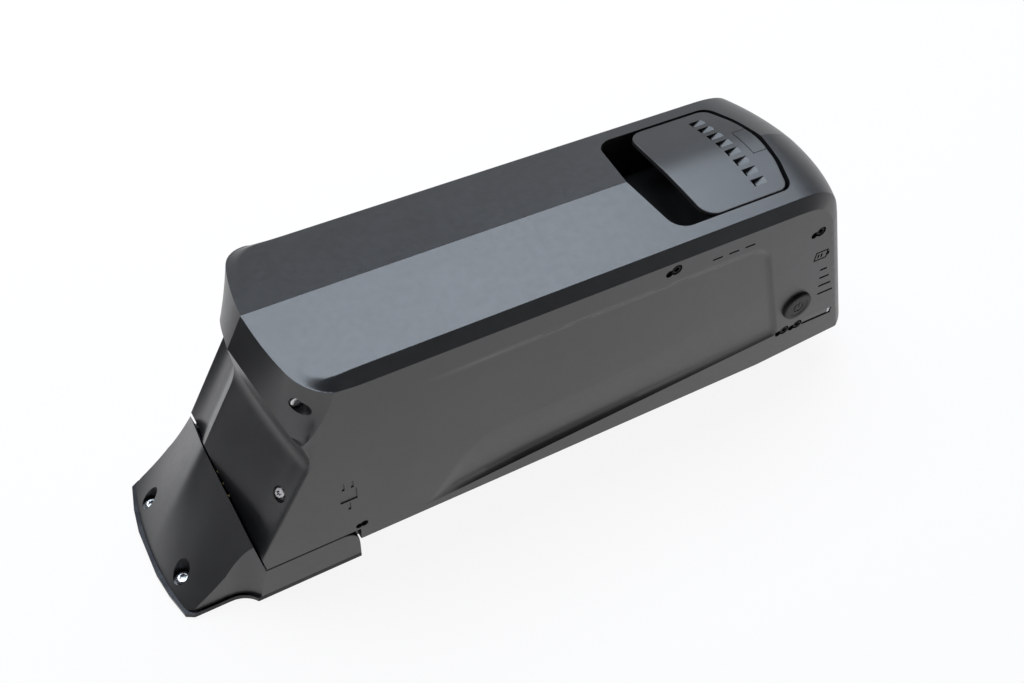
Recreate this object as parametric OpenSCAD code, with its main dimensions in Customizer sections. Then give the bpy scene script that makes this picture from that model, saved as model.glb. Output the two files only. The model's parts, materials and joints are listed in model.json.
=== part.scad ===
// Battery pack for a bicycle's down tube, docked on its base: a two-part shell with a
// shallow roof, raked ends, a carrying flap, a charge gauge and a lock, with the cells,
// boards and connectors inside.
// +X runs from the nose to the rear end, +Y to the far side and +Z up.
// The origin is the centre of the plane that the base is mounted on.

/* [Overall] */
// Length from the base's nose to the pack's rear end
overall_l = 362; // [350:1:450]
// Width across the pack's flat sides
pack_w = 88; // [86:1:110]
// Height from the mounting plane to the ridge
overall_h = 123.5; // [120:0.5:150]
// Height of the pack's underside above the mounting plane
pack_lift = 12; // [11:0.5:16]
// How far the button, the key and the cap stand out of the sides
side_proud = 2; // [1.8:0.1:3]

/* [Roof and shell] */
// Fall of the roof from the ridge to the eaves
roof_drop = 4.8; // [3:0.1:6]
// Width and height of the bevel between roof and side
bevel = 4.7; // [3:0.1:6]
// Width and height of the bevel along the underside
under_bevel = 1.5; // [1:0.1:2]
// Thickness of the shell
wall = 2.6; // [2:0.1:3.4]
// Gap between the two shell halves
part_gap = 0.2; // [0.1:0.05:0.4]
// Clearance between fixed pieces
seat_gap = 0.3; // [0.2:0.05:0.5]

/* [Front of the pack] */
// Distance from the nose to the seam at the height of the tongue
seam_in = 40.5; // [36:0.5:46]
// Lean of the seam, forward at the top, in degrees
seam_lean = 8.6; // [6:0.1:10]
// Width of the open seam between base and pack
seam_gap = 0.8; // [0.4:0.1:1.2]
// Height of the crest where it meets the seam
crest_z = 58.3; // [55:0.1:62]
// Rake of the pack's front under the hood, in degrees
snout_rake = 27.8; // [25:0.1:30]
// How far the front's flanks sweep back at the sides
snout_sweep = 20; // [16:0.5:22]
// Depth of the hollow cove in each flank
cove_depth = 5; // [3:0.5:6]
// Distance from the nose to the hood's lower tip
hood_in = 52; // [48:0.5:56]
// Height of the hood's lower tip
hood_z = 108; // [104:0.5:110]
// How far the roof's tip lies behind the hood's lower tip
hood_back = 7.5; // [5:0.5:10]
// Height at which the hood ends above the front
hood_foot_z = 92; // [90:0.5:96]
// How far the hood's flanks sweep back at the sides
hood_sweep = 12; // [8:0.5:14]
// Fall of the ridge at the roof's tip
tip_drop = 2; // [1:0.1:3]

/* [Rear of the pack] */
// Rake of the rear end, in degrees
rear_rake = 19.6; // [16:0.1:22]
// Radius of the bowed rear end
rear_r = 80; // [70:1:110]
// Height of the heel above the underside
heel_h = 20; // [16:0.5:24]
// How far the heel is cut back at the underside
heel_in = 16; // [12:0.5:18]
// Radius between roof and rear end
top_r = 35; // [28:0.5:40]

/* [Base] */
// How far the nose's front edge falls back towards its corners
nose_bow = 4.6; // [3:0.1:7]
// Half the nose's width ahead of the scallops
nose_half_w = 38.5; // [36:0.5:40]
// Radius of the side scallops
scallop_r = 12; // [9:0.5:14]
// Distance from the nose to the scallops' middle
scallop_in = 24; // [20:0.5:28]
// Thickness of the nose cover
nose_wall = 2.5; // [2:0.1:3]
// Thickness of the base's floor
floor_t = 2.5; // [2:0.1:3.5]
// Height of the side tongues
tongue_z = 20; // [18:0.5:22]
// Length of the side tongues behind the seam
tongue_l = 41.5; // [36:0.5:48]
// Thickness of the side tongues
tongue_t = 3.5; // [3:0.1:4]
// Radius of the tongue's end
tongue_r = 8; // [6:0.5:10]
// Distance from the nose to its screws
nose_screw_in = 9.5; // [9:0.5:12]
// Half the spacing of the nose screws
nose_screw_y = 21.3; // [18:0.1:24]

/* [Rail] */
// Half the width of the rail's floor
rail_half_w = 30; // [28:0.5:34]
// Thickness of the rail's floor
rail_t = 4; // [3:0.5:5]
// Half the clear width between the rail's uprights
rail_clear = 14; // [12:0.5:16]
// Thickness of each upright
upright_t = 5; // [4:0.5:6]
// How far each flange overhangs its upright
flange_out = 4; // [3:0.5:5]
// Thickness of the flanges
flange_t = 2.6; // [2:0.1:3]
// Sideways clearance of the pack on its rail
rail_gap = 0.5; // [0.3:0.1:0.8]
// Distance from the rail's end to the pack's rear end
rail_end_in = 17.5; // [17:0.5:24]
// Spacing of the mounting slots
slot_pitch = 64; // [50:1:80]
// Half the width of a mounting slot
slot_r = 2.75; // [2.2:0.05:3.2]
// Length of a mounting slot
slot_l = 14; // [10:0.5:20]

/* [Handle] */
// Width of the opening in the roof
pocket_w = 65; // [60:0.5:68]
// Distance from the opening's front point to the rear end
pocket_front_in = 128; // [124:0.5:132]
// Distance from the opening's rear edge to the rear end
pocket_rear_in = 53.8; // [52:0.2:58]
// How far the front edges of opening and flap come to a point
pocket_point = 5.5; // [3:0.5:7]
// Radius of the bowed rear edges of opening and flap
pocket_bow_r = 75; // [70:1:100]
// Distance from the flap's front edge to the rear end
flap_front_in = 109; // [105:0.5:112]
// Gap along the flap's sides
flap_gap = 1; // [0.8:0.1:1.5]
// Gap behind the flap, which its turning needs
flap_rear_gap = 2.2; // [2:0.1:3]
// Thickness of the flap
flap_t = 2.6; // [2.2:0.1:2.8]
// Depth of the flap's face below the roof
flap_sink = 0.3; // [0.2:0.1:0.6]
// Distance from the flap's pin to the rear end
pin_in = 68; // [66:0.5:72]
// Depth of the pin below the ridge
pin_depth = 7.3; // [7:0.1:8]
// Radius of the pin
pin_r = 1.2; // [1:0.05:1.4]
// Radial clearance of the pin
pin_gap = 0.05; // [0.02:0.01:0.1]
// Thickness of the tub's walls
tub_wall = 2; // [1.6:0.1:2.4]
// Number of grip slots
grip_n = 8; // [5:1:9]
// Spacing of the grip slots
grip_pitch = 6.6; // [5:0.1:7]

/* [Cells] */
// Diameter of a cell
cell_d = 18.3; // [18:0.1:22]
// Length of a cell
cell_l = 65; // [60:0.5:70]
// Gap between neighbouring cells
cell_spacing = 0.9; // [0.6:0.1:1.5]
// Height of the room for the cell block
block_room = 72; // [65:0.5:80]
// Plastic around the outermost cells
holder_rim = 1.5; // [1:0.1:2]
// Depth of each cell holder
holder_t = 9; // [6:0.5:12]
// Radial clearance of a cell in its holder
cell_gap = 0.1; // [0.05:0.01:0.2]
// Thickness of the joining strips and the insulation sheets
strip_t = 0.3; // [0.2:0.05:0.5]

/* [Button and gauge] */
// Radius of the button
button_r = 7.9; // [6:0.1:9.5]
// Travel of the button
button_travel = 1.2; // [0.8:0.1:1.4]
// Radial clearance of the button
button_gap = 0.2; // [0.1:0.05:0.4]
// Distance from the button to the rear corner of the side
button_in = 34.1; // [33:0.1:37]
// Height of the button
button_z = 49.5; // [46:0.1:52]
// Number of gauge bars
bar_n = 4; // [3:1:5]
// Spacing of the gauge bars
bar_pitch = 6; // [5:0.1:7]
// Height of the lowest gauge bar
bar_z = 51; // [48:0.5:54]

/* [Lock and charging] */
// Radius of the key cylinder
key_r = 7; // [6:0.1:7.4]
// Distance from the key's axis to the rear end
key_in = 33; // [31:0.5:36]
// Height of the key's axis
key_z = 28; // [27.5:0.1:29]
// Throw of the pin that drives the bolt
throw_r = 5; // [4:0.1:5.5]
// Sliding clearance of the bolt
bolt_gap = 0.2; // [0.1:0.05:0.3]
// Distance from the nose to the charging socket
charge_in = 111; // [105:0.5:130]
// Height of the charging socket
charge_z = 103; // [101:0.5:104]
// Radius of the charging socket
charge_r = 6.5; // [5:0.1:7]
// Radius of the charging socket's cap
cap_r = 9; // [8:0.1:9.5]

/* [Hidden] */
$fn = 64;

// Reach of the blocks that cut or keep one side of a plane
far = 600;
// Overlap of a cut past the face it opens
cut = 1;
half_w = pack_w / 2;
x_nose = -overall_l / 2;
x_rear = overall_l / 2;
eave_z = overall_h - roof_drop;
heel_z = pack_lift + heel_h;
inner_y = half_w - wall;
proud_y = half_w + side_proud;

// Plane of the seam and the crest of the front
seam_x0 = x_nose + seam_in;
function seam_x(z) = seam_x0 - (z - tongue_z) * tan(seam_lean);
crest_x = seam_x(crest_z);
hood_x = x_nose + hood_in;
snout_top_x = crest_x + (hood_foot_z - crest_z) * tan(snout_rake);
tip_run = 8;

// Rail heights follow the shell's thickness
lip_z = pack_lift + wall;
rail_lip_gap = 0.4;
flange_z = lip_z + rail_lip_gap;
rail_top = flange_z + flange_t;
channel_top = rail_top + seat_gap;
housing_t = 2.2;
housing_top = channel_top + housing_t;
upright_out = rail_clear + upright_t;
flange_y = upright_out + flange_out;
rail_end = x_rear - rail_end_in;

// Cell block
cell_r = cell_d / 2;
cell_pitch = cell_d + cell_spacing;
row_pitch = cell_pitch * sin(60);
cell_rows = floor((block_room - cell_d - 2 * holder_rim) / row_pitch) + 1;
row_z0 = housing_top + seat_gap + cell_r + holder_rim;
row_z_top = row_z0 + (cell_rows - 1) * row_pitch;
block_top = row_z_top + cell_r + holder_rim;
// The lowest row starts so far back that the third row clears the raked front
cell_front = 49.14;
cell_x0 = x_nose + cell_front + cell_r + 1.3 * wall + 2 * row_pitch * tan(snout_rake);
cell_x_end = x_rear - 43.3;
cell_n = floor((cell_x_end - cell_x0 - cell_pitch / 2 + 0.01) / cell_pitch) + 1;
function row_shift(row) = row % 2 == 0 ? 0 : cell_pitch / 2;
function cell_at(row, col) = [cell_x0 + row_shift(row) + col * cell_pitch, row_z0 + row * row_pitch];
sheet_gap = 0.1;
strip_y = cell_l / 2;
sheet_y = strip_y + strip_t + sheet_gap;
rib_y = sheet_y + strip_t + seat_gap;

// Handle
pocket_x0 = x_rear - pocket_front_in;
pocket_x1 = x_rear - pocket_rear_in;
pocket_y = pocket_w / 2;
tub_floor_z = block_top + seat_gap + tub_wall;
pin_x = x_rear - pin_in;
pin_z = overall_h - pin_depth;
ear_y = 13;
ear_t = 3.6;
ear_r = 2.1;
knuckle_r = 3.2;
pin_half_l = ear_y + ear_t;
grip_x = pin_x - 1.3;
grip_l = 7;
grip_w = 3.8;
grip_depth = 1.5;

// Rear corner of the sides, where the bowed rear end meets them
rear_sag = rear_r - sqrt(rear_r * rear_r - half_w * half_w);
corner_x = x_rear - rear_sag;

// Side features, by distance from the rear corner or the ends and by height
button_x = corner_x - button_in;
tub_screw = [x_rear - 129.8, 109.4];
rear_screw = [x_rear - 47, 97.2];
hood_screw = [x_nose + 67, 111];
cove_screw = [x_nose + 53.5, 53];
carrier_screw_at = [[corner_x - 36.8, 33], [corner_x - 28.6, 33.3]];
screw_r = 1.5;
screw_bore = screw_r + 0.05;
head_r = 2.6;
head_t = 1.3;
head_gap = 0.2;
boss_r = 3.2;
board_y = 36.2;
board_t = 1.4;
carrier_t = 1.9;
switch_t = 1;
flange_r = button_r + 1.3;
bar_slant = tan(12.5);
bar_x = corner_x - 21.2;
bar_short = 4;
bar_grow = 1.75;
bar_h = 1;
lens_gap = 0.1;
vent_x = x_rear - 110.4;
vent_pitch = 8.8;
vent_l = 5.4;
vent_h = 0.9;
vent_z = 106.5;
strip_x = carrier_screw_at[1][0] + head_r + head_gap + 0.3;
strip_l = 18.5;
strip_z = 33.6;
strip_h = 4;
catch_t = 1.2;

// Lock
key_x = x_rear - key_in;
key_end_y = 15.7;
throw_pin_r = 1.2;
throw_lift = throw_r * sin(45);
bolt_x0 = key_x - 1;
bolt_w = 10;
bolt_y0 = 8;
bolt_t = 5;
bolt_z0 = channel_top + 0.4;
bolt_top = key_z + throw_lift + throw_pin_r + 2;
housing_y1 = 36;
lock_top = row_z0 + row_pitch - cell_r - holder_rim - seat_gap;
keeper_x = bolt_x0 + bolt_w + 0.6;
keeper_t = 2.4;
keeper_top = flange_z - 0.5;

// Charging socket
charge_x = x_nose + charge_in;
cap_hinge_x = charge_x - cap_r - 2.2;
cap_y = half_w + 0.2;
cap_t = proud_y - cap_y;
strap_w = 8;
anchor_gap = 1.6;
anchor_x = cap_hinge_x - 4;

// Connectors
plug_z0 = housing_top + 2.9;
plug_z1 = plug_z0 + 13;
plug_mid_z = (plug_z0 + plug_z1) / 2;
plug_half_y = 15.5;
plug_face_x = seam_x(plug_z0) + 0.4;
plug_back_x = seam_x0 + 16.5;
blade_n = 4;
blade_pitch = 7;
blade_t = 1.2;
blade_h = 8;
blade_gap = 0.3;
socket_face_x = seam_x(plug_z1) - seam_gap;
socket_back_x = socket_face_x - 10;
blade_x1 = plug_face_x + 12;

// Boards and leads
board_x0 = cell_x0 + 72;
board_x1 = pocket_x0 - tub_wall - 7;
bms_half_w = 27;
bms_post_h = 5.4;
bms_z = block_top + bms_post_h + sheet_gap;
bms_t = 1.6;
lead_r = 1.6;
lead_y = 6;
lead_bend = 4;
lead_gap = 0.3;
// Inner face of the front at the hood's foot, which the leads pass
front_in_x = crest_x + (hood_foot_z + wall - crest_z) * tan(snout_rake) + wall / cos(snout_rake)
    + snout_sweep * lead_y / half_w;
// The leads' place goes in steps of half a millimetre
lead_x = ceil(2 * (front_in_x + lead_gap + lead_r)) / 2;
lead_z = bms_z + lead_r;

shell_color = [0.09, 0.09, 0.1];
tub_color = [0.03, 0.03, 0.03];
steel_color = [0.7, 0.7, 0.72];
brass_color = [0.78, 0.6, 0.25];
rubber_color = [0.05, 0.05, 0.05];
board_color = [0.05, 0.3, 0.15];

function unit(v) = v / norm(v);

// Outline moved inwards by d, for points that run counter-clockwise
function inset_poly(p, d) = let (n = len(p)) [
    for (i = [0:n - 1])
        let (u = unit(p[i] - p[(i + n - 1) % n]), v = unit(p[(i + 1) % n] - p[i]))
        let (a = [-u[1], u[0]], b = [-v[1], v[0]])
        p[i] + (a + b) * d / (1 + a * b)
];

function arc_points(centre, r, from, to, steps) = [
    for (i = [0:steps])
        let (a = from + (to - from) * i / steps)
        centre + r * [cos(a), sin(a)]
];

// Centre of the arc between the raked rear end and the roof
top_c_z = overall_h - top_r;
top_c_x = x_rear - (top_r + sin(rear_rake) * (top_c_z - heel_z)) / cos(rear_rake);

// The pack on its centre plane, seen from the side
side_points = concat(
    [[seam_x(pack_lift), pack_lift], [x_rear - heel_in, pack_lift], [x_rear, heel_z]],
    arc_points([top_c_x, top_c_z], top_r, rear_rake, 90, 7),
    [[hood_x + hood_back + tip_run, overall_h],
     [hood_x + hood_back, overall_h - tip_drop],
     [hood_x, hood_z],
     [snout_top_x, hood_foot_z],
     [crest_x, crest_z]]
);

// The pack across its width
cross_points = [
    [-half_w + under_bevel, pack_lift], [half_w - under_bevel, pack_lift], [half_w, pack_lift + under_bevel],
    [half_w, eave_z - bevel], [half_w - bevel, eave_z], [0, overall_h],
    [-half_w + bevel, eave_z], [-half_w, eave_z - bevel], [-half_w, pack_lift + under_bevel]
];

module along_x(points, x0 = -far, x1 = far)
    translate([x0, 0, 0]) rotate([90, 0, 90]) linear_extrude(x1 - x0) polygon(points);

module along_y(points, y0 = -far, y1 = far)
    translate([0, y1, 0]) rotate([90, 0, 0]) linear_extrude(y1 - y0) polygon(points);

module box(x0, x1, y0, y1, z0, z1)
    translate([x0, y0, z0]) cube([x1 - x0, y1 - y0, z1 - z0]);

module y_cyl(x, z, y0, y1, r)
    translate([x, y0, z]) rotate([-90, 0, 0]) cylinder(r = r, h = y1 - y0);

module x_cyl(x0, x1, y, z, r)
    translate([x0, y, z]) rotate([0, 90, 0]) cylinder(r = r, h = x1 - x0);

module mirrored_y() {
    children();
    mirror([0, 1, 0]) children();
}

// Round column with a flat-sided block behind it, which keeps what lies inside a bowed end
module bowed_end(r, turn) {
    cylinder(r = r, h = far, center = true, $fn = 128);
    rotate([0, 0, turn]) translate([0, -r, -far / 2]) cube([far, 2 * r, far]);
}

module rear_keep(inset)
    translate([x_rear - rear_r / cos(rear_rake), 0, heel_z]) rotate([0, -rear_rake, 0])
        bowed_end(rear_r - inset, 180);

// Wedge with its edge along Z at the origin, which opens towards +X
module wedge(sweep, inset) {
    reach = 2 * half_w;
    back = inset * norm([1, sweep / half_w]);
    linear_extrude(2 * far, center = true)
        polygon([[back, 0], [back + sweep * reach / half_w, -reach], [far, -reach],
                 [far, reach], [back + sweep * reach / half_w, reach]]);
}

// Hollow in the near flank: a column whose chord runs from cove_y0 to the side
module cove(inset) {
    sweep = snout_sweep * cos(snout_rake);
    cove_y0 = 0.36 * half_w;
    chord = [sweep * (half_w - cove_y0) / half_w, cove_y0 - half_w];
    middle = [sweep * (half_w + cove_y0) / half_w, -(half_w + cove_y0)] / 2;
    r = (pow(norm(chord) / 2, 2) + pow(cove_depth, 2)) / (2 * cove_depth);
    out = [chord[1], -chord[0]] / norm(chord);
    at = middle + out * (r - cove_depth);
    translate([at[0], at[1], 0]) cylinder(r = r + inset, h = 2 * far, center = true, $fn = 96);
}

// What lies behind the hood and the front's flanks, with one block behind both
module front_keep(inset) {
    translate([hood_x + 60, -far, -far]) cube(2 * far);
    translate([hood_x, 0, far + hood_foot_z + inset]) intersection() {
        wedge(hood_sweep, inset);
        translate([0, -far, -far]) cube([2 * far, 2 * far, 2 * far]);
    }
    intersection() {
        translate([-far, -far, hood_foot_z + inset - 2 * far]) cube(2 * far);
        translate([crest_x, 0, crest_z]) rotate([0, snout_rake, 0]) difference() {
            wedge(snout_sweep * cos(snout_rake), inset);
            mirrored_y() cove(inset);
        }
    }
}

// The pack's outer form, or the same form moved inwards
module pack_form(inset = 0) intersection() {
    along_x(inset_poly(cross_points, inset));
    along_y(inset_poly(side_points, inset));
    rear_keep(inset);
    front_keep(inset);
}

// Channel in the pack's underside that the rail runs in
module rail_channel() {
    box(-far, rail_end + 1, -upright_out - rail_gap, upright_out + rail_gap, pack_lift - cut, lip_z + cut);
    box(-far, rail_end + 1, -flange_y - rail_gap, flange_y + rail_gap, lip_z, channel_top);
}

module rail_channel_walls()
    box(-far, rail_end + 1 + wall, -flange_y - rail_gap - wall, flange_y + rail_gap + wall,
        pack_lift, housing_top);

// Recess in the pack's side for a tongue of the base
module tongue_recess()
    box(-far, seam_x0 + tongue_l + 0.5, half_w - tongue_t, half_w + cut,
        pack_lift - cut, tongue_z + seat_gap);

module tongue_backing()
    box(-far, seam_x0 + tongue_l + 0.5 + wall, half_w - tongue_t - wall, half_w,
        pack_lift, tongue_z + seat_gap + wall);

// Opening in the roof, grown by d
module pocket_outline(d = 0) {
    back_x = pocket_x1 + d;
    y = pocket_y + d;
    steps = 8;
    bow = [for (i = [0:steps]) let (b = -y + 2 * y * i / steps) [back_x - b * b / (2 * pocket_bow_r), b]];
    front_x = pocket_x0 - d;
    front = [[front_x + pocket_point, y], [front_x, 0], [front_x + pocket_point, -y]];
    polygon(concat(front, bow));
}

module screw(at, head_y, end_y) {
    y_cyl(at[0], at[1], head_y, head_y + head_t, head_r);
    y_cyl(at[0], at[1], head_y, end_y, screw_r);
}

module screw_hole(at, head_y, end_y) {
    y_cyl(at[0], at[1], -far, head_y + head_t, head_r + head_gap);
    y_cyl(at[0], at[1], head_y, end_y, screw_bore);
}

// Where each long screw's head sits, and where the screw ends
rear_head_y = -half_w + 0.3;
hood_head_y = -half_w + 8;
cove_head_y = -half_w + 10;
long_screws = [[rear_screw, rear_head_y], [hood_screw, hood_head_y], [cove_screw, cove_head_y]];
long_screw_end = 14;
side_head_y = -half_w + 0.1;
tub_screw_end = -half_w + 9;
carrier_screw_end = -half_w + 7;

module screw_bosses() intersection() {
    for (s = long_screws) y_cyl(s[0][0], s[0][1], -half_w, half_w, boss_r);
    pack_form(wall / 2);
}

cell_ribs = [cell_x0 + 30, cell_x0 + 90, cell_x0 + 170];
rib_t = 2;

// Ribs that hold the cell block from the near side
module side_ribs()
    for (x = cell_ribs) box(x, x + rib_t, -inner_y - wall / 2, -rib_y, housing_top, row_z_top);

module shell_body() {
    difference() {
        pack_form(0);
        difference() {
            pack_form(wall);
            rail_channel_walls();
            mirrored_y() tongue_backing();
            mirrored_y() side_ribs();
            screw_bosses();
        }
        rail_channel();
        mirrored_y() tongue_recess();
        translate([0, 0, tub_floor_z]) linear_extrude(far) pocket_outline();
        box(-far, plug_back_x - 4, -plug_half_y - seat_gap, plug_half_y + seat_gap,
            plug_z0 - seat_gap, plug_z1 + seat_gap);
        for (s = long_screws) screw_hole(s[0], s[1], long_screw_end + cut);
        parting_groove(0.05);
    }
}

// Groove for the seal, grown by gap
module parting_groove(gap) difference() {
    along_y(inset_poly(side_points, 0.8 - gap), -0.8 - gap, 0.8 + gap);
    along_y(inset_poly(side_points, 1.7 + gap), -1 - gap, 1 + gap);
}

module gauge_windows(gap) for (i = [0:bar_n - 1]) {
    x = bar_x - i * bar_pitch * bar_slant;
    z = bar_z + i * bar_pitch;
    l = bar_short + (bar_n - 1 - i) * bar_grow;
    box(x - gap, x + l + gap, -half_w - cut, -inner_y + cut, z - bar_h / 2 - gap, z + bar_h / 2 + gap);
}

module near_shell() color(shell_color) difference() {
    shell_body();
    box(-far, far, -part_gap / 2, far, -far, far);
    y_cyl(button_x, button_z, -half_w - cut, -inner_y + cut, button_r + button_gap);
    gauge_windows(lens_gap);
    for (i = [0:2])
        box(vent_x + i * vent_pitch, vent_x + i * vent_pitch + vent_l, -half_w - cut, -inner_y + cut,
            vent_z - vent_h / 2, vent_z + vent_h / 2);
    for (at = carrier_screw_at) screw_hole(at, side_head_y, -inner_y + cut);
    screw_hole(tub_screw, side_head_y, -inner_y + cut);
    box(strip_x - lens_gap, strip_x + strip_l + lens_gap, -half_w - cut, -half_w + catch_t + lens_gap,
        strip_z - strip_h / 2 - lens_gap, strip_z + strip_h / 2 + lens_gap);
}

module far_shell() color(shell_color) difference() {
    shell_body();
    box(-far, far, -far, part_gap / 2, -far, far);
    y_cyl(key_x, key_z, inner_y - cut, half_w + cut, key_r + button_gap);
    y_cyl(charge_x, charge_z, inner_y - cut, half_w + cut, charge_r + button_gap);
    y_cyl(anchor_x, charge_z, inner_y - cut, half_w + cut, screw_r + lens_gap);
    mirror([0, 1, 0]) screw_hole(tub_screw, side_head_y, -inner_y + cut);
    box(bolt_x0 - bolt_gap, bolt_x0 + bolt_w + bolt_gap, bolt_y0 - bolt_gap, bolt_y0 + bolt_t + bolt_gap,
        channel_top - cut, housing_top + cut);
}

module parting_seal() color(rubber_color) difference() {
    parting_groove(0);
    translate([0, 0, tub_floor_z]) linear_extrude(far) pocket_outline(1);
    rail_channel();
    box(-far, rail_end + 1, -cut, cut, 0, housing_top);
    box(-far, plug_back_x, -cut, cut, 0, plug_z1 + 1);
    for (s = long_screws) y_cyl(s[0][0], s[0][1], -cut, cut, boss_r);
}

module catch_strip() color(steel_color)
    box(strip_x, strip_x + strip_l, -half_w, -half_w + catch_t, strip_z - strip_h / 2, strip_z + strip_h / 2);

module vent_membrane() color([0.85, 0.85, 0.85])
    box(vent_x - 2, vent_x + 2 * vent_pitch + vent_l + 2, -inner_y + 0.1, -inner_y + 0.5,
        vent_z - 2.5, vent_z + 2.5);

module shell_screws() color(steel_color)
    for (s = long_screws) screw(s[0], s[1], long_screw_end);

// Arm of the tub that its side screw goes into
module tub_arm() {
    y_cyl(tub_screw[0], tub_screw[1], -inner_y + seat_gap, -pocket_y + 2, boss_r);
    box(tub_screw[0], tub_screw[0] + 10, -pocket_y - tub_wall, -pocket_y + 2,
        tub_screw[1] - boss_r, tub_screw[1] + boss_r);
}

module pin_ear() {
    y_cyl(pin_x, pin_z, ear_y, ear_y + ear_t, ear_r);
    box(pin_x - ear_r, pin_x + ear_r, ear_y, ear_y + ear_t, tub_floor_z - cut, pin_z);
}

module handle_tub() color(tub_color) difference() {
    union() {
        difference() {
            union() {
                translate([0, 0, tub_floor_z - tub_wall]) linear_extrude(far) pocket_outline(tub_wall);
                mirrored_y() tub_arm();
            }
            translate([0, 0, tub_floor_z]) linear_extrude(far) pocket_outline();
            mirrored_y() y_cyl(tub_screw[0], tub_screw[1], -far, tub_screw_end + cut, screw_bore);
            difference() {
                translate([-far, -far, pack_lift]) cube(2 * far);
                pack_form(wall + seat_gap);
            }
        }
        mirrored_y() pin_ear();
    }
    y_cyl(pin_x, pin_z, -far, far, pin_r + pin_gap);
}

module tub_screws() color(steel_color)
    mirrored_y() screw(tub_screw, side_head_y, tub_screw_end);

// The roof lowered by d, as a body that reaches down to z0
module under_roof(d, z0) {
    y = half_w - bevel;
    along_x([[-y, z0], [y, z0], [y, eave_z - d], [0, overall_h - d], [-y, eave_z - d]]);
}

module flap_outline() {
    y = pocket_y - flap_gap;
    back_x = pocket_x1 - flap_rear_gap;
    front_x = x_rear - flap_front_in;
    steps = 8;
    bow = [for (i = [0:steps]) let (b = -y + 2 * y * i / steps) [back_x - b * b / (2 * pocket_bow_r), b]];
    polygon(concat([[front_x + pocket_point / 2, y], [front_x, 0], [front_x + pocket_point / 2, -y]], bow));
}

module handle_flap() color(shell_color) difference() {
    union() {
        intersection() {
            linear_extrude(far) flap_outline();
            difference() {
                under_roof(flap_sink, pin_z - pin_depth);
                under_roof(flap_sink + flap_t, 0);
            }
        }
        intersection() {
            union() {
                y_cyl(pin_x, pin_z, -ear_y + seat_gap, ear_y - seat_gap, knuckle_r);
                box(pin_x - knuckle_r, pin_x + knuckle_r, -ear_y + seat_gap, ear_y - seat_gap, pin_z, far);
            }
            under_roof(flap_sink + cut, 0);
        }
    }
    y_cyl(pin_x, pin_z, -far, far, pin_r + pin_gap);
    for (i = [0:grip_n - 1]) {
        y = (i - (grip_n - 1) / 2) * grip_pitch;
        z = overall_h - flap_sink - grip_depth - roof_drop * abs(y) / (half_w - bevel);
        box(grip_x - grip_l, grip_x, y - grip_w / 2, y + grip_w / 2, z, far);
    }
}

module handle_pin() color(steel_color)
    y_cyl(pin_x, pin_z, -pin_half_l, pin_half_l, pin_r);

module power_button() color(shell_color) {
    y_cyl(button_x, button_z, -proud_y, -inner_y + seat_gap, button_r);
    y_cyl(button_x, button_z, -inner_y + seat_gap, -inner_y + 1.6, flange_r);
    y_cyl(button_x, button_z, -inner_y + 1.6, -board_y - switch_t - button_travel - 0.2, button_r / 2);
}

// Outline of the carrier and its board in X and Z, raked like the rear end
function carrier_points(d) = inset_poly([
    [corner_x - 41.8, 29], [corner_x - 12.8, 29], [corner_x - 23.8, 78], [corner_x - 33.8, 78],
    [corner_x - 44.8, 58]
], d);

module gauge_carrier() color(tub_color) difference() {
    union() {
        along_y(carrier_points(0), -board_y - carrier_t - 0.1, -board_y - 0.1);
        for (at = carrier_screw_at)
            y_cyl(at[0], at[1], -inner_y + seat_gap, -board_y - 0.1, boss_r);
    }
    y_cyl(button_x, button_z, -far, 0, flange_r + 0.6);
    box(bar_x - 8, bar_x + 12, -far, 0, bar_z - 3, bar_z + bar_n * bar_pitch - 2);
    for (at = carrier_screw_at) y_cyl(at[0], at[1], -far, 0, screw_bore);
}

module carrier_screws() color(steel_color)
    for (at = carrier_screw_at) screw(at, side_head_y, carrier_screw_end);

module gauge_board() color(board_color) difference() {
    union() {
        along_y(carrier_points(1), -board_y, -board_y + board_t);
        box(button_x - 3, button_x + 3, -board_y - switch_t, -board_y, button_z - 3, button_z + 3);
        for (i = [0:bar_n - 1]) {
            x = bar_x - i * bar_pitch * bar_slant + 1.5;
            z = bar_z + i * bar_pitch;
            box(x - 1, x + 1, -board_y - switch_t, -board_y, z - 0.7, z + 0.7);
        }
    }
    for (at = carrier_screw_at) y_cyl(at[0], at[1], -far, 0, screw_r + 0.3);
}

module gauge_bars() color([0.75, 0.78, 0.8]) {
    intersection() {
        gauge_windows(0);
        box(-far, far, -half_w, -inner_y + seat_gap, 0, far);
    }
    for (i = [0:bar_n - 1]) {
        x = bar_x - i * bar_pitch * bar_slant;
        z = bar_z + i * bar_pitch;
        l = bar_short + (bar_n - 1 - i) * bar_grow;
        box(x - 1.5, x + l + 0.8, -inner_y + seat_gap, -inner_y + 1.5, z - bar_pitch / 2, z + bar_pitch / 2);
    }
}

module charge_socket() color(tub_color) difference() {
    union() {
        y_cyl(charge_x, charge_z, half_w - 20, half_w - 0.1, charge_r);
        y_cyl(charge_x, charge_z, inner_y - 2, inner_y - seat_gap, charge_r + 2);
    }
    difference() {
        y_cyl(charge_x, charge_z, half_w - 12, half_w + cut, charge_r - 2);
        y_cyl(charge_x, charge_z, half_w - 13, half_w - 2, 1);
    }
}

module charge_cap() color(rubber_color) {
    y_cyl(charge_x, charge_z, cap_y, proud_y, cap_r);
    box(cap_hinge_x, charge_x, cap_y, proud_y, charge_z - strap_w / 2, charge_z + strap_w / 2);
    translate([cap_hinge_x, cap_y + cap_t / 2, charge_z - strap_w / 2]) cylinder(r = cap_t / 2, h = strap_w);
}

module cap_anchor() color(rubber_color) {
    box(anchor_x - 3, cap_hinge_x - anchor_gap, half_w, proud_y,
        charge_z - strap_w / 2, charge_z + strap_w / 2);
    y_cyl(anchor_x, charge_z, inner_y - 1, half_w, screw_r);
}

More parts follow.
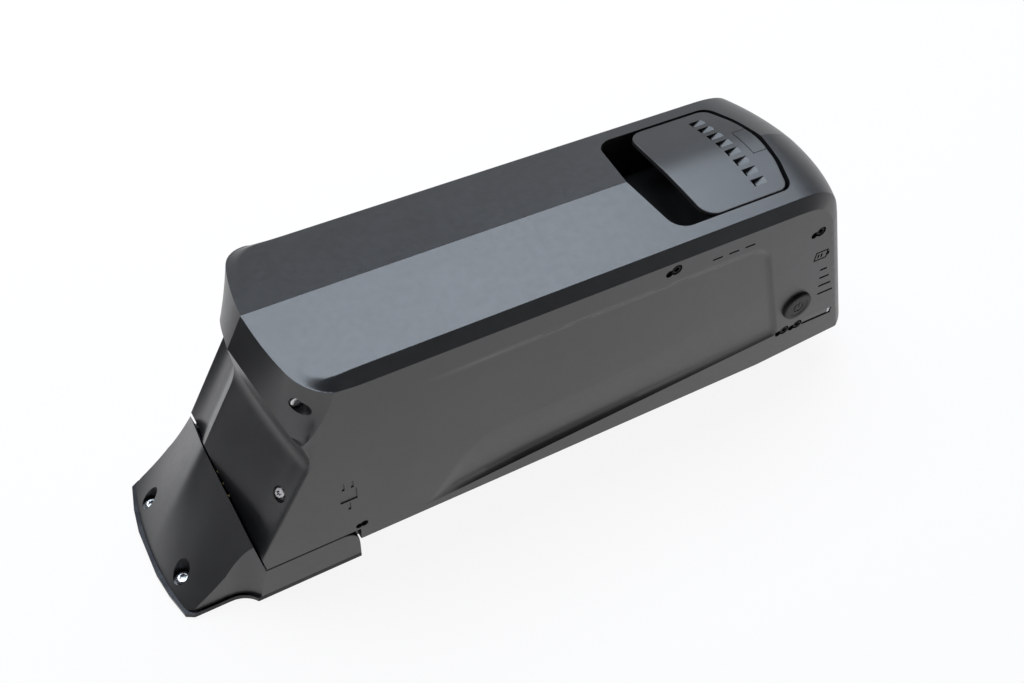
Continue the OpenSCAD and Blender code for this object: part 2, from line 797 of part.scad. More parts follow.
module key_cylinder() color(steel_color) {
    difference() {
        y_cyl(key_x, key_z, key_end_y, proud_y, key_r);
        box(key_x - 0.8, key_x + 0.8, proud_y - 6, proud_y + cut, key_z - 4, key_z + 4);
    }
    y_cyl(key_x + throw_lift, key_z + throw_lift, bolt_y0 + 0.5, key_end_y, throw_pin_r);
}

module lock_housing() color(tub_color) difference() {
    box(key_x - key_r - 1.8, bolt_x0 + bolt_w + 1.6, 1, housing_y1, housing_top + 0.1, lock_top);
    box(bolt_x0 - bolt_gap, bolt_x0 + bolt_w + bolt_gap, bolt_y0 - bolt_gap, bolt_y0 + bolt_t + bolt_gap,
        0, far);
    y_cyl(key_x, key_z, key_end_y - 0.3, far, key_r + pin_gap);
    y_cyl(key_x, key_z, bolt_y0 + bolt_t, key_end_y, throw_r + throw_pin_r + 0.3);
}

module lock_bolt() color(steel_color) difference() {
    box(bolt_x0, bolt_x0 + bolt_w, bolt_y0, bolt_y0 + bolt_t, bolt_z0, bolt_top);
    box(key_x + throw_lift - throw_pin_r - 0.4, key_x + throw_r + throw_pin_r + 0.4,
        bolt_y0 - cut, bolt_y0 + bolt_t + cut,
        key_z + throw_lift - throw_pin_r - 0.3, key_z + throw_lift + throw_pin_r + 0.3);
}

module cells() color([0.1, 0.35, 0.3])
    for (row = [0:cell_rows - 1], col = [0:cell_n - 1]) {
        at = cell_at(row, col);
        y_cyl(at[0], at[1], -cell_l / 2, cell_l / 2, cell_r);
    }

// Outline of the cell block in X and Z: a band with round ends for each row
module block_outline(rim) for (row = [0:cell_rows - 1]) {
    a = cell_at(row, 0);
    b = cell_at(row, cell_n - 1);
    r = cell_r + rim;
    translate(a) circle(r);
    translate(b) circle(r);
    translate([a[0], a[1] - r]) square([b[0] - a[0], 2 * r]);
}

// Cell holder of the near side, with posts for the protection board
module cell_holder() {
    translate([0, -cell_l / 2 + holder_t, 0]) rotate([90, 0, 0]) linear_extrude(holder_t) difference() {
        block_outline(holder_rim);
        for (row = [0:cell_rows - 1], col = [0:cell_n - 1])
            translate(cell_at(row, col)) circle(cell_r + cell_gap);
    }
    for (x = [board_x0 + 3, board_x1 - 3])
        translate([x, -bms_half_w + 2, block_top - 0.2]) cylinder(r = 1.8, h = bms_post_h + 0.2);
}

module near_cell_holder() color([0.15, 0.15, 0.16]) cell_holder();

module far_cell_holder() color([0.15, 0.15, 0.16]) mirror([0, 1, 0]) cell_holder();

// Joining strips on the near ends: each spans two columns, from column `first` on
module strips(first) {
    margin = 1.5;
    for (col = [first:2:cell_n - 1]) {
        x0 = cell_x0 + max(col, 0) * cell_pitch - cell_r / 2 + margin;
        x1 = cell_x0 + min(col + 1, cell_n - 1) * cell_pitch + cell_pitch / 2 + cell_r / 2 - margin;
        box(x0, x1, -strip_y - strip_t, -strip_y, row_z0 - cell_r / 2, row_z_top + cell_r / 2);
    }
}

module near_strips() color([0.72, 0.72, 0.7]) strips(0);

module far_strips() color([0.72, 0.72, 0.7]) mirror([0, 1, 0]) strips(-1);

module insulation()
    translate([0, -sheet_y, 0]) rotate([90, 0, 0]) linear_extrude(strip_t) block_outline(0);

module near_insulation() color([0.35, 0.55, 0.35]) insulation();

module far_insulation() color([0.35, 0.55, 0.35]) mirror([0, 1, 0]) insulation();

module protection_board() color(board_color) {
    box(board_x0, board_x1, -bms_half_w, bms_half_w, bms_z, bms_z + bms_t);
    for (i = [0:4])
        box(board_x1 - 14 - i * 7, board_x1 - 9 - i * 7, 15, 23, bms_z + bms_t, bms_z + bms_t + 2);
    for (y = [-20, -12]) translate([board_x1 - 8, y, bms_z + bms_t]) cylinder(r = 3, h = 7);
}

module heat_plate() color([0.75, 0.76, 0.78])
    box(board_x0 + 6, board_x1 - 46, -20, 20, bms_z + bms_t + 0.1, bms_z + bms_t + 3.1);

// Quarter bend in the XZ plane about a centre, from one angle on
module lead_bend_part(cx, y, cz, from)
    translate([cx, y, cz]) rotate([90, 0, 0]) rotate([0, 0, from])
        rotate_extrude(angle = 90) translate([lead_bend, 0]) circle(lead_r, $fn = 24);

// Lead from the pack's connector, up the front of the cells and back to the board
module lead(y) {
    up_z0 = plug_mid_z + lead_bend;
    up_z1 = lead_z - lead_bend;
    x_cyl(plug_back_x, lead_x - lead_bend, y, plug_mid_z, lead_r);
    lead_bend_part(lead_x - lead_bend, y, up_z0, -90);
    translate([lead_x, y, up_z0]) cylinder(r = lead_r, h = up_z1 - up_z0);
    lead_bend_part(lead_x + lead_bend, y, up_z1, 90);
    x_cyl(lead_x + lead_bend, board_x0, y, lead_z, lead_r);
}

module positive_lead() color([0.7, 0.08, 0.06]) lead(lead_y);

module negative_lead() color([0.04, 0.04, 0.04]) lead(-lead_y);

module blades(gap, x0, x1) for (i = [0:blade_n - 1]) {
    y = (i - (blade_n - 1) / 2) * blade_pitch;
    box(x0, x1, y - blade_t / 2 - gap, y + blade_t / 2 + gap,
        plug_mid_z - blade_h / 2 - gap, plug_mid_z + blade_h / 2 + gap);
}

module pack_connector() color(tub_color) difference() {
    union() {
        box(plug_face_x, plug_back_x, -plug_half_y, plug_half_y, plug_z0, plug_z1);
        box(seam_x(plug_z0) + wall + 0.8, plug_back_x - 5, -plug_half_y - 4, plug_half_y + 4,
            plug_z0 - 2.4, plug_z1 + 2.4);
    }
    blades(blade_gap, -far, blade_x1 + cut);
}

// Outline of the nose in plan: a bowed front, a narrow nose and scallops ahead of the tongues
module nose_outline(inset) difference() {
    union() {
        polygon(inset_poly([
            [x_nose, -12], [x_nose + nose_bow * 0.35, -24], [x_nose + nose_bow, -nose_half_w + 2],
            [x_nose + nose_bow + 3.4, -nose_half_w], [seam_x0 + cut, -nose_half_w],
            [seam_x0 + cut, nose_half_w], [x_nose + nose_bow + 3.4, nose_half_w],
            [x_nose + nose_bow, nose_half_w - 2], [x_nose + nose_bow * 0.35, 24], [x_nose, 12]
        ], inset));
        translate([x_nose + scallop_in, -half_w + inset])
            square([seam_in - scallop_in + cut, pack_w - 2 * inset]);
    }
    for (s = [-1, 1])
        translate([x_nose + scallop_in, s * (nose_half_w + scallop_r)]) circle(scallop_r + inset);
}

// Height at which the front's flank meets the seam
function flank_z(y) = crest_z - snout_sweep * abs(y) / half_w / (tan(snout_rake) + tan(seam_lean));

// The nose cut lengthwise at y: a straight slope from the seam down to the bowed front edge
function nose_section(y, inset) =
    let (low = -10, top_z = flank_z(y), top_x = seam_x(top_z))
    let (foot_x = x_nose + nose_bow * pow(y / nose_half_w, 2))
    let (slope = (top_x - foot_x) / (top_z - floor_t))
    inset_poly([[foot_x + slope * (low - floor_t), low], [seam_x(low), low], [top_x, top_z]], inset);

module nose_slope(inset) {
    cuts = 12;
    ys = [for (i = [0:cuts]) -half_w + pack_w * i / cuts];
    points = [for (y = ys) for (p = nose_section(y, inset)) [p[0], y, p[1]]];
    skin = [for (i = [0:cuts - 1], j = [0:2])
        let (a = 3 * i + j, b = 3 * i + (j + 1) % 3)
        each [[a, b, b + 3], [a, b + 3, a + 3]]];
    polyhedron(points, concat([[2, 1, 0], [3 * cuts, 3 * cuts + 1, 3 * cuts + 2]], skin));
}

module before_seam(gap)
    translate([seam_x0, 0, tongue_z]) rotate([0, -seam_lean, 0])
        translate([-far - gap, -far / 2, -far / 2]) cube([far, far, far]);

module nose_form(inset) intersection() {
    translate([0, 0, floor_t]) linear_extrude(far) nose_outline(inset);
    nose_slope(inset);
    before_seam(seam_gap + inset);
}

nose_screw_x = x_nose + nose_screw_in;
nose_head_z = 5.8;
nose_head_r = 3;
nose_head_t = 1.6;
insert_r = 2.4;

module at_nose_screws() for (s = [-1, 1]) translate([nose_screw_x, s * nose_screw_y, 0]) children();

// Tongue along one side of the pack, with a rounded upper end
module tongue() intersection() {
    box(seam_x0 - seam_in / 3, seam_x0 + tongue_l, half_w - tongue_t + seat_gap, half_w, floor_t, tongue_z);
    union() {
        box(-far, seam_x0 + tongue_l - tongue_r, 0, far, 0, far);
        box(-far, far, 0, far, 0, tongue_z - tongue_r);
        y_cyl(seam_x0 + tongue_l - tongue_r, tongue_z - tongue_r, 0, far, tongue_r);
    }
}

module base_nose() color(shell_color) difference() {
    union() {
        difference() {
            nose_form(0);
            difference() {
                nose_form(nose_wall);
                at_nose_screws() cylinder(r = 4.6, h = far);
            }
            translate([0, 0, floor_t - cut]) linear_extrude(2 * cut) nose_outline(nose_wall);
        }
        mirrored_y() difference() {
            tongue();
            box(-far, seam_x0 - 2 * nose_wall, -far, far, -far, far);
        }
    }
    at_nose_screws() {
        translate([0, 0, nose_head_z - nose_head_t]) cylinder(r = nose_head_r + head_gap, h = far);
        cylinder(r = screw_bore, h = far);
        translate([0, 0, -cut]) cylinder(r = insert_r + 0.05, h = floor_t + cut + 0.2);
    }
    box(socket_back_x, far, -plug_half_y - 1, plug_half_y + 1, plug_z0 - 0.3, plug_z1 + 0.3);
    box(seam_x0, far, -half_w + tongue_t - seat_gap, half_w - tongue_t + seat_gap, 0, far);
}

// Slot along X through the rail's floor
module mount_slot(x) {
    run = slot_l / 2 - slot_r;
    for (s = [-1, 1]) translate([x + s * run, 0, -cut]) cylinder(r = slot_r, h = rail_t + 2 * cut);
    box(x - run, x + run, -slot_r, slot_r, -cut, rail_t + cut);
}

gland_x = x_nose + 15.5;
gland_r = 6;

module base_rail() color([0.12, 0.12, 0.13]) difference() {
    union() {
        linear_extrude(floor_t) nose_outline(0);
        box(seam_x0, seam_x0 + tongue_l, -half_w, half_w, 0, floor_t);
        box(seam_x0, rail_end, -rail_half_w, rail_half_w, 0, rail_t);
        mirrored_y() {
            box(seam_x0 + 4, rail_end, rail_clear, upright_out, rail_t - cut, rail_top);
            box(seam_x0 + 4, rail_end, rail_clear, flange_y, flange_z, rail_top);
        }
        at_nose_screws() cylinder(r = 4.4, h = floor_t);
        box(socket_back_x - 2, seam_x(plug_z0) - seam_gap - nose_wall - cut, -plug_half_y, plug_half_y,
            floor_t - cut, plug_z0);
    }
    for (s = [-1, 1]) mount_slot(s * slot_pitch / 2);
    at_nose_screws() translate([0, 0, -cut]) cylinder(r = insert_r + 0.05, h = floor_t + 2 * cut);
    translate([gland_x, 0, -cut]) cylinder(r = gland_r + 0.1, h = floor_t + 2 * cut);
}

module nose_screws() color(steel_color) at_nose_screws() {
    translate([0, 0, nose_head_z - nose_head_t]) cylinder(r = nose_head_r, h = nose_head_t);
    translate([0, 0, 0.6]) cylinder(r = screw_r, h = nose_head_z - 0.6);
}

module nose_inserts() color(brass_color) at_nose_screws() difference() {
    translate([0, 0, 0.2]) cylinder(r = insert_r, h = floor_t);
    cylinder(r = screw_bore, h = far);
}

module base_socket() color(tub_color) difference() {
    box(socket_back_x, socket_face_x, -plug_half_y, plug_half_y, plug_z0, plug_z1);
    blades(0.05, -far, far);
}

module base_blades() color(brass_color)
    blades(0, socket_back_x, blade_x1);

module cable_gland() color(rubber_color) translate([gland_x, 0, 0]) difference() {
    union() {
        translate([0, 0, 0.3]) cylinder(r = gland_r, h = floor_t);
        translate([0, 0, floor_t + 0.05]) cylinder(r = gland_r + 2, h = 2.5);
    }
    translate([0, 0, -cut]) cylinder(r = 3.5, h = far);
}

module lock_keeper() color(steel_color) {
    box(keeper_x, keeper_x + keeper_t, -rail_clear + 0.1, rail_clear - 0.1, rail_t, keeper_top);
    box(keeper_x, rail_end, -rail_clear + 0.1, rail_clear - 0.1, rail_t, rail_t + 2);
}

near_shell();
far_shell();
parting_seal();
catch_strip();
vent_membrane();
shell_screws();
handle_tub();
tub_screws();
handle_flap();
handle_pin();
power_button();
gauge_carrier();
carrier_screws();
gauge_board();
gauge_bars();
charge_socket();
charge_cap();
cap_anchor();
key_cylinder();
lock_housing();
lock_bolt();
cells();
near_cell_holder();
far_cell_holder();
near_strips();
far_strips();
near_insulation();
far_insulation();
protection_board();
heat_plate();
positive_lead();
negative_lead();
pack_connector();
base_nose();
base_rail();
nose_screws();
nose_inserts();
base_socket();
base_blades();
cable_gland();
lock_keeper();
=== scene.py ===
"""Battery pack docked on its base: the visible pieces and their finishes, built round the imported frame."""
import json
import logging
import math
from dataclasses import dataclass
from enum import Enum
from typing import Callable, Sequence

import bpy
import numpy as np
from mathutils import Matrix, Vector


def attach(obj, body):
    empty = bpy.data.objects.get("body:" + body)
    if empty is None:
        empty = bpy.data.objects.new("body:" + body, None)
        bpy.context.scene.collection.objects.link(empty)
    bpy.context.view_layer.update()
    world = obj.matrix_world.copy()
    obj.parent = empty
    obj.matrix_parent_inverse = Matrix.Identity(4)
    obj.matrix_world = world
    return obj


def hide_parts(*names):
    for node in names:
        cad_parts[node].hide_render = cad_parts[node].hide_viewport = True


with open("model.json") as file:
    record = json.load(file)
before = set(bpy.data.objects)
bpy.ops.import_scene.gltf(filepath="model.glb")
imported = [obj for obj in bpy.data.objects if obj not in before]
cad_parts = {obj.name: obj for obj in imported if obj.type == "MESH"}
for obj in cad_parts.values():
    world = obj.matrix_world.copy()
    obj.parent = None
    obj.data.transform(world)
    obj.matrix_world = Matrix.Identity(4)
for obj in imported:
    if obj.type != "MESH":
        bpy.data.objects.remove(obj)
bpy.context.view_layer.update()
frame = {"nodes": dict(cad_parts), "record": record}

MM = 0.001
FAR = 300.0
OUT = -60.0
LOG = logging.getLogger("battery_pack")

Obj = bpy.types.Object
Socket = bpy.types.NodeSocket
Array = np.ndarray
Point = Sequence[float]
Outline = list[tuple[float, float]]


class Side(Enum):
    """Side of the parting plane."""

    NEAR = -1
    FAR = 1


class Work(Enum):
    """What a tool does to the body that it is put into."""

    CUT = "DIFFERENCE"
    KEEP = "INTERSECT"
    JOIN = "UNION"


class Way(Enum):
    """Direction that an outline is drawn out along."""

    UP = "Z"
    ACROSS = "Y"


# Workshop: primitives at their size and place, and the operators that shape them


def clear() -> None:
    """Deselect everything."""
    bpy.ops.object.select_all(action="DESELECT")


def mode(name: str) -> None:
    """Go to edit mode or back to object mode."""
    bpy.ops.object.mode_set(mode=name)


def take(obj: Obj) -> Obj:
    """Select one object alone and make it active."""
    clear()
    obj.select_set(True)
    bpy.context.view_layer.objects.active = obj
    return obj


def seat(obj: Obj, name: str) -> Obj:
    """Put a new object's place, turn and scale into its mesh, and name it."""
    take(obj)
    bpy.ops.object.transform_apply(location=True, rotation=True, scale=True)
    obj.name = obj.data.name = name
    return obj


def face_out(obj: Obj, name: str) -> Obj:
    """Turn every face of a closed form outwards, and seat it."""
    mode("EDIT")
    bpy.ops.mesh.select_all(action="SELECT")
    bpy.ops.mesh.normals_make_consistent(inside=False)
    mode("OBJECT")
    return seat(obj, name)


def block(name: str, low: Point, high: Point) -> Obj:
    """Add a block between two corners, in millimetres."""
    lowest, highest = Vector(low) * MM, Vector(high) * MM
    clear()
    bpy.ops.mesh.primitive_cube_add(size=1.0, location=(lowest + highest) / 2)
    bpy.context.object.scale = highest - lowest
    return seat(bpy.context.object, name)


def rod(name: str, radius: float, start: Point, end: Point, sides: int = 48) -> Obj:
    """Add a round rod between two points, in millimetres."""
    first, last = Vector(start) * MM, Vector(end) * MM
    axis = last - first
    clear()
    bpy.ops.mesh.primitive_cylinder_add(
        vertices=sides, radius=radius * MM, depth=axis.length, location=(first + last) / 2,
        rotation=axis.to_track_quat("Z", "Y").to_euler())
    return seat(bpy.context.object, name)


def half_space(name: str, point: Point, normal: Point) -> Obj:
    """Add a large block that lies outside a plane, on the side that its normal points to."""
    out = Vector(normal).normalized()
    clear()
    bpy.ops.mesh.primitive_cube_add(
        size=2 * FAR * MM, location=(Vector(point) + out * FAR) * MM,
        rotation=out.to_track_quat("Z", "Y").to_euler())
    return seat(bpy.context.object, name)


def prism(name: str, outline: Outline, start: float, end: float, way: Way = Way.UP) -> Obj:
    """Draw an outline out into a column.

    Args:
        name: the column's name.
        outline: its points in X and Y, or in X and Z for a column across the pack.
        start: where the column starts along its way.
        end: where it ends.
        way: the direction of the column.

    Returns:
        The closed column.
    """
    clear()
    bpy.ops.mesh.primitive_circle_add(vertices=len(outline), radius=1.0, fill_type="NGON")
    obj = bpy.context.object
    for vertex, (first, second) in zip(obj.data.vertices, outline):
        at = (first, second, start) if way is Way.UP else (first, start, second)
        vertex.co = Vector(at) * MM
    run = (0, 0, (end - start) * MM) if way is Way.UP else (0, (end - start) * MM, 0)
    mode("EDIT")
    bpy.ops.mesh.select_all(action="SELECT")
    bpy.ops.mesh.extrude_region_move(TRANSFORM_OT_translate={"value": run})
    mode("OBJECT")
    return face_out(obj, name)


def rounded(corners: Sequence[Point], steps: int = 10) -> Outline:
    """Round the corners of an outline.

    Args:
        corners: x, y and radius of each corner, in order.
        steps: how many edges each arc has.

    Returns:
        The points of the rounded outline.
    """
    outline: Outline = []
    count = len(corners)
    for i, (x, y, radius) in enumerate(corners):
        here = Vector((x, y))
        if radius <= 0:
            outline.append((x, y))
            continue
        before = (Vector(corners[i - 1][:2]) - here).normalized()
        after = (Vector(corners[(i + 1) % count][:2]) - here).normalized()
        half = before.angle(after) / 2
        centre = here + (before + after).normalized() * radius / math.sin(half)
        first = here + before * radius / math.tan(half) - centre
        last = here + after * radius / math.tan(half) - centre
        turn = math.atan2(first.x * last.y - first.y * last.x, first.dot(last))
        for k in range(steps + 1):
            spoke = first.copy()
            spoke.rotate(Matrix.Rotation(turn * k / steps, 2))
            outline.append(tuple(centre + spoke))
    return outline


def sheet(name: str, points: Array, close: Callable[[Array], Array]) -> Obj:
    """Shape a grid into a curved sheet and close the space behind it.

    Args:
        name: the solid's name.
        points: rows by columns by 3, in millimetres.
        close: moves a copy of the sheet's points to the back of the solid.

    Returns:
        The closed solid.
    """
    down, across = points.shape[:2]
    clear()
    bpy.ops.mesh.primitive_grid_add(x_subdivisions=across - 1, y_subdivisions=down - 1, size=1.0)
    obj = bpy.context.object
    obj.data.vertices.foreach_set("co", (points * MM).ravel())
    mode("EDIT")
    bpy.ops.mesh.select_all(action="SELECT")
    bpy.ops.mesh.extrude_region_move()
    mode("OBJECT")
    count = len(obj.data.vertices)
    places = np.zeros(count * 3)
    drawn = np.zeros(count, dtype=bool)
    obj.data.vertices.foreach_get("co", places)
    obj.data.vertices.foreach_get("select", drawn)
    places = places.reshape(-1, 3)
    places[drawn] = close(places[drawn] / MM) * MM
    obj.data.vertices.foreach_set("co", places.ravel())
    return face_out(obj, name)


def push_down(points: Array) -> Array:
    """Push the points of a sheet down under the object."""
    points[:, 2] = OUT
    return points


def push_back(points: Array) -> Array:
    """Push the points of a sheet back behind the pack, away from its near front corner."""
    step = (400 - points[:, 0] - points[:, 1]) / 2
    points[:, 0] += step
    points[:, 1] += step
    return points


def mirrored(obj: Obj, name: str) -> Obj:
    """Copy an object, with its own mesh, across the parting plane."""
    copy = obj.copy()
    copy.data = obj.data.copy()
    bpy.context.scene.collection.objects.link(copy)
    copy.data.transform(Matrix.Scale(-1, 4, (0, 1, 0)))
    copy.data.flip_normals()
    copy.name = copy.data.name = name
    return copy


def moved(obj: Obj, shift: Point) -> Obj:
    """Move an object's mesh by a shift in millimetres."""
    obj.data.transform(Matrix.Translation(Vector(shift) * MM))
    return obj


def carve(body: Obj, tool: Obj, work: Work = Work.CUT) -> Obj:
    """Cut a body with a tool, keep what they share, or join them.

    Args:
        body: the object that is worked on.
        tool: the object that works on it, removed afterwards.
        work: what is done.

    Returns:
        The body.
    """
    take(body)
    step = body.modifiers.new("carve", "BOOLEAN")
    step.operation = work.value
    step.solver = "MANIFOLD"
    step.object = tool
    bpy.ops.object.modifier_apply(modifier=step.name)
    mesh = tool.data
    bpy.data.objects.remove(tool)
    bpy.data.meshes.remove(mesh)
    return body


def bore(body: Obj, name: str, radius: float, start: Point, end: Point, sides: int = 48) -> Obj:
    """Cut a round hole between two points, in millimetres."""
    return carve(body, rod(name, radius, start, end, sides))


def notch(body: Obj, name: str, low: Point, high: Point) -> Obj:
    """Cut a block out of a body between two corners, in millimetres."""
    return carve(body, block(name, low, high))


def bevel(obj: Obj, kind: str, size: float, steps: int) -> None:
    """Round the chosen edges, or the rims of the chosen faces.

    Args:
        obj: the object, with its edges or faces chosen.
        kind: EDGE or FACE.
        size: width of the rounding, in millimetres.
        steps: how many segments it has.
    """
    take(obj)
    mode("EDIT")
    bpy.ops.mesh.select_mode(type=kind)
    bpy.ops.mesh.bevel(offset=size * MM, segments=steps, affect="EDGES")
    bpy.ops.mesh.select_all(action="DESELECT")
    mode("OBJECT")


def choose_edges(obj: Obj, wanted: Callable[[Vector], bool]) -> None:
    """Choose the edges whose ends are both wanted, and no faces."""
    for edge in obj.data.edges:
        edge.select = all(wanted(obj.data.vertices[i].co) for i in edge.vertices)
    for face in obj.data.polygons:
        face.select = False


def choose_faces(obj: Obj, wanted: Callable[[bpy.types.MeshPolygon], bool]) -> None:
    """Choose the faces that are wanted."""
    for face in obj.data.polygons:
        face.select = wanted(face)


def smooth(obj: Obj, degrees: float = 28.0) -> Obj:
    """Shade a piece smooth, with edges sharper than an angle kept."""
    take(obj)
    bpy.ops.object.shade_smooth_by_angle(angle=math.radians(degrees))
    even = obj.modifiers.new("even", "WEIGHTED_NORMAL")
    even.keep_sharp = True
    bpy.ops.object.modifier_apply(modifier=even.name)
    return obj


def hatch(front: float, point: float, back: float, y: float, radii: Point) -> Outline:
    """Outline of the flap or of its opening, with a pointed front and a bowed back.

    Args:
        front: where the point lies on the centre line.
        point: how far the sides start behind it.
        back: where the middle ends.
        y: half of the width.
        radii: rounding of the point, the front corners and the back corners.

    Returns:
        The rounded outline.
    """
    bow = y * y / 150
    tip, corner, rear = radii
    near = [(front + point, -y, corner), (back - bow, -y, rear), (back - bow / 4, -y / 2, 40)]
    far = [(x, -at, radius) for x, at, radius in reversed(near)]
    return rounded([(front, 0, tip), *near, (back, 0, 60), *far])


def columns(*values: object) -> Array:
    """Points from their coordinates, each an array or one number."""
    return np.stack(np.broadcast_arrays(*values), axis=1)


def bezier(ends: Sequence[Point], steps: int) -> Array:
    """Points along a curve that its control points lead, without the first one."""
    t = np.linspace(0, 1, steps)[1:, None]
    points = [np.asarray(end) for end in ends]
    while len(points) > 1:
        points = [(1 - t) * first + t * second for first, second in zip(points, points[1:])]
    return points[0]


def ease(low: float, high: float, value: Array) -> Array:
    """Rise smoothly from 0 at low to 1 at high."""
    t = np.clip((value - low) / (high - low), 0.0, 1.0)
    return t * t * (3 - 2 * t)


# Finishes


class Graph:
    """A node tree, filled by short calls."""

    def __init__(self, tree: bpy.types.NodeTree) -> None:
        """Take the tree that is filled."""
        self.tree = tree

    def add(self, kind: str, **values: object) -> bpy.types.Node:
        """Add a node and set its inputs, or join them to other nodes' outputs.

        Args:
            kind: the node's type.
            values: input names, with underscores for spaces.

        Returns:
            The node.
        """
        node = self.tree.nodes.new(kind)
        for key, value in values.items():
            self.join(node.inputs[key.replace("_", " ")], value)
        return node

    def join(self, socket: Socket, value: object) -> None:
        """Set an input, or link it to another node's output."""
        if isinstance(value, Socket):
            self.tree.links.new(value, socket)
        else:
            socket.default_value = value

    def maths(self, operation: str, first: Socket, second: object) -> Socket:
        """Join two numbers by an operation."""
        node = self.tree.nodes.new("ShaderNodeMath")
        node.operation = operation
        self.join(node.inputs[0], first)
        self.join(node.inputs[1], second)
        return node.outputs[0]

    def ramp(self, value: Socket, low: Point, high: Point, span: Point = (0.35, 0.65)) -> Socket:
        """Colour that goes from low to high over a span of the value."""
        node = self.add("ShaderNodeValToRGB", Fac=value)
        for element, at, colour in zip(node.color_ramp.elements, span, (low, high)):
            element.position = at
            element.color = (*colour, 1.0)
        return node.outputs["Color"]


class Skin(Graph):
    """A material's nodes, on the piece's own coordinates."""

    def __init__(self, name: str) -> None:
        """Start a material with its shader and coordinates."""
        self.material = bpy.data.materials.new(name)
        self.material.use_nodes = True
        super().__init__(self.material.node_tree)
        self.shader = self.tree.nodes["Principled BSDF"]
        self.place = self.add("ShaderNodeTexCoord").outputs["Object"]

    def give(self, **values: object) -> None:
        """Set or join inputs of the shader, with underscores for spaces in their names."""
        for key, value in values.items():
            self.join(self.shader.inputs[key.replace("_", " ")], value)

    def noise(self, size: float, detail: float = 2.0, stretch: Point = (1, 1, 1)) -> Socket:
        """Noise with grains of a size in millimetres, drawn out along an axis if asked."""
        turn = self.add("ShaderNodeMapping", Vector=self.place, Scale=stretch)
        return self.add("ShaderNodeTexNoise", Vector=turn.outputs["Vector"], Scale=1 / (size * MM),
                        Detail=detail).outputs["Fac"]

    def between(self, value: Socket, low: float, high: float, span: Point = (0.3, 0.7)) -> Socket:
        """Number that goes from low to high over a span of the value."""
        ends = {"From_Min": span[0], "From_Max": span[1], "To_Min": low, "To_Max": high}
        return self.add("ShaderNodeMapRange", Value=value, **ends).outputs["Result"]

    def relief(self, height: Socket, depth: float, strength: float, over: Socket | None = None) -> Socket:
        """Surface normal of a relief with a depth in millimetres, laid over another relief if given."""
        node = self.add("ShaderNodeBump", Height=height, Distance=depth * MM, Strength=strength)
        if over is not None:
            self.join(node.inputs["Normal"], over)
        return node.outputs["Normal"]


@dataclass(frozen=True)
class Finish:
    """What every finish has: a name, two colours that it wanders between, and a roughness."""

    name: str
    dark: Point
    light: Point
    roughness: float

    def start(self, patch: float, detail: float) -> Skin:
        """Start the material, with patches of a size in millimetres in its two colours."""
        g = Skin(self.name)
        g.give(Base_Color=g.ramp(g.noise(patch, detail), self.dark, self.light))
        return g


@dataclass(frozen=True)
class MouldedPlastic(Finish):
    """Dark moulded plastic with a fine spark-eroded grain."""

    spread: float = 0.02
    grain: float = 0.35
    grain_depth: float = 0.02
    gloss: float = 0.5

    def make(self) -> bpy.types.Material:
        """Build the material."""
        g = self.start(22.0, 4.0)
        waves = g.relief(g.noise(9.0, 1.0), 0.02, 0.04)
        low, high = self.roughness - self.spread, self.roughness + self.spread
        g.give(Roughness=g.between(g.noise(3.0, 5.0), low, high), Specular_IOR_Level=self.gloss,
               Normal=g.relief(g.noise(self.grain, 2.0), self.grain_depth, 0.35, waves))
        return g.material


@dataclass(frozen=True)
class PlatedMetal(Finish):
    """Bright or coated metal with fine marks along one axis."""

    marks: Point = (1, 1, 1)
    mark_size: float = 0.6

    def make(self) -> bpy.types.Material:
        """Build the material."""
        g = self.start(5.0, 4.0)
        line = g.noise(self.mark_size, 3.0, self.marks)
        g.give(Roughness=g.between(line, self.roughness - 0.07, self.roughness + 0.09),
               Normal=g.relief(line, 0.015, 0.25), Metallic=1.0)
        return g.material


@dataclass(frozen=True)
class SoftSkin(Finish):
    """Dull skin such as rubber, paper, wrap or lacquer."""

    grain: float
    depth: float
    coat: float = 0.0

    def make(self) -> bpy.types.Material:
        """Build the material."""
        g = self.start(self.grain * 6, 5.0)
        grain = g.noise(self.grain, 3.0)
        g.give(Roughness=g.between(grain, self.roughness - 0.08, self.roughness + 0.08),
               Normal=g.relief(grain, self.depth, 0.4), Coat_Weight=self.coat)
        return g.material


def grey(value: float) -> Point:
    """Colour without a tint."""
    return value, value, value


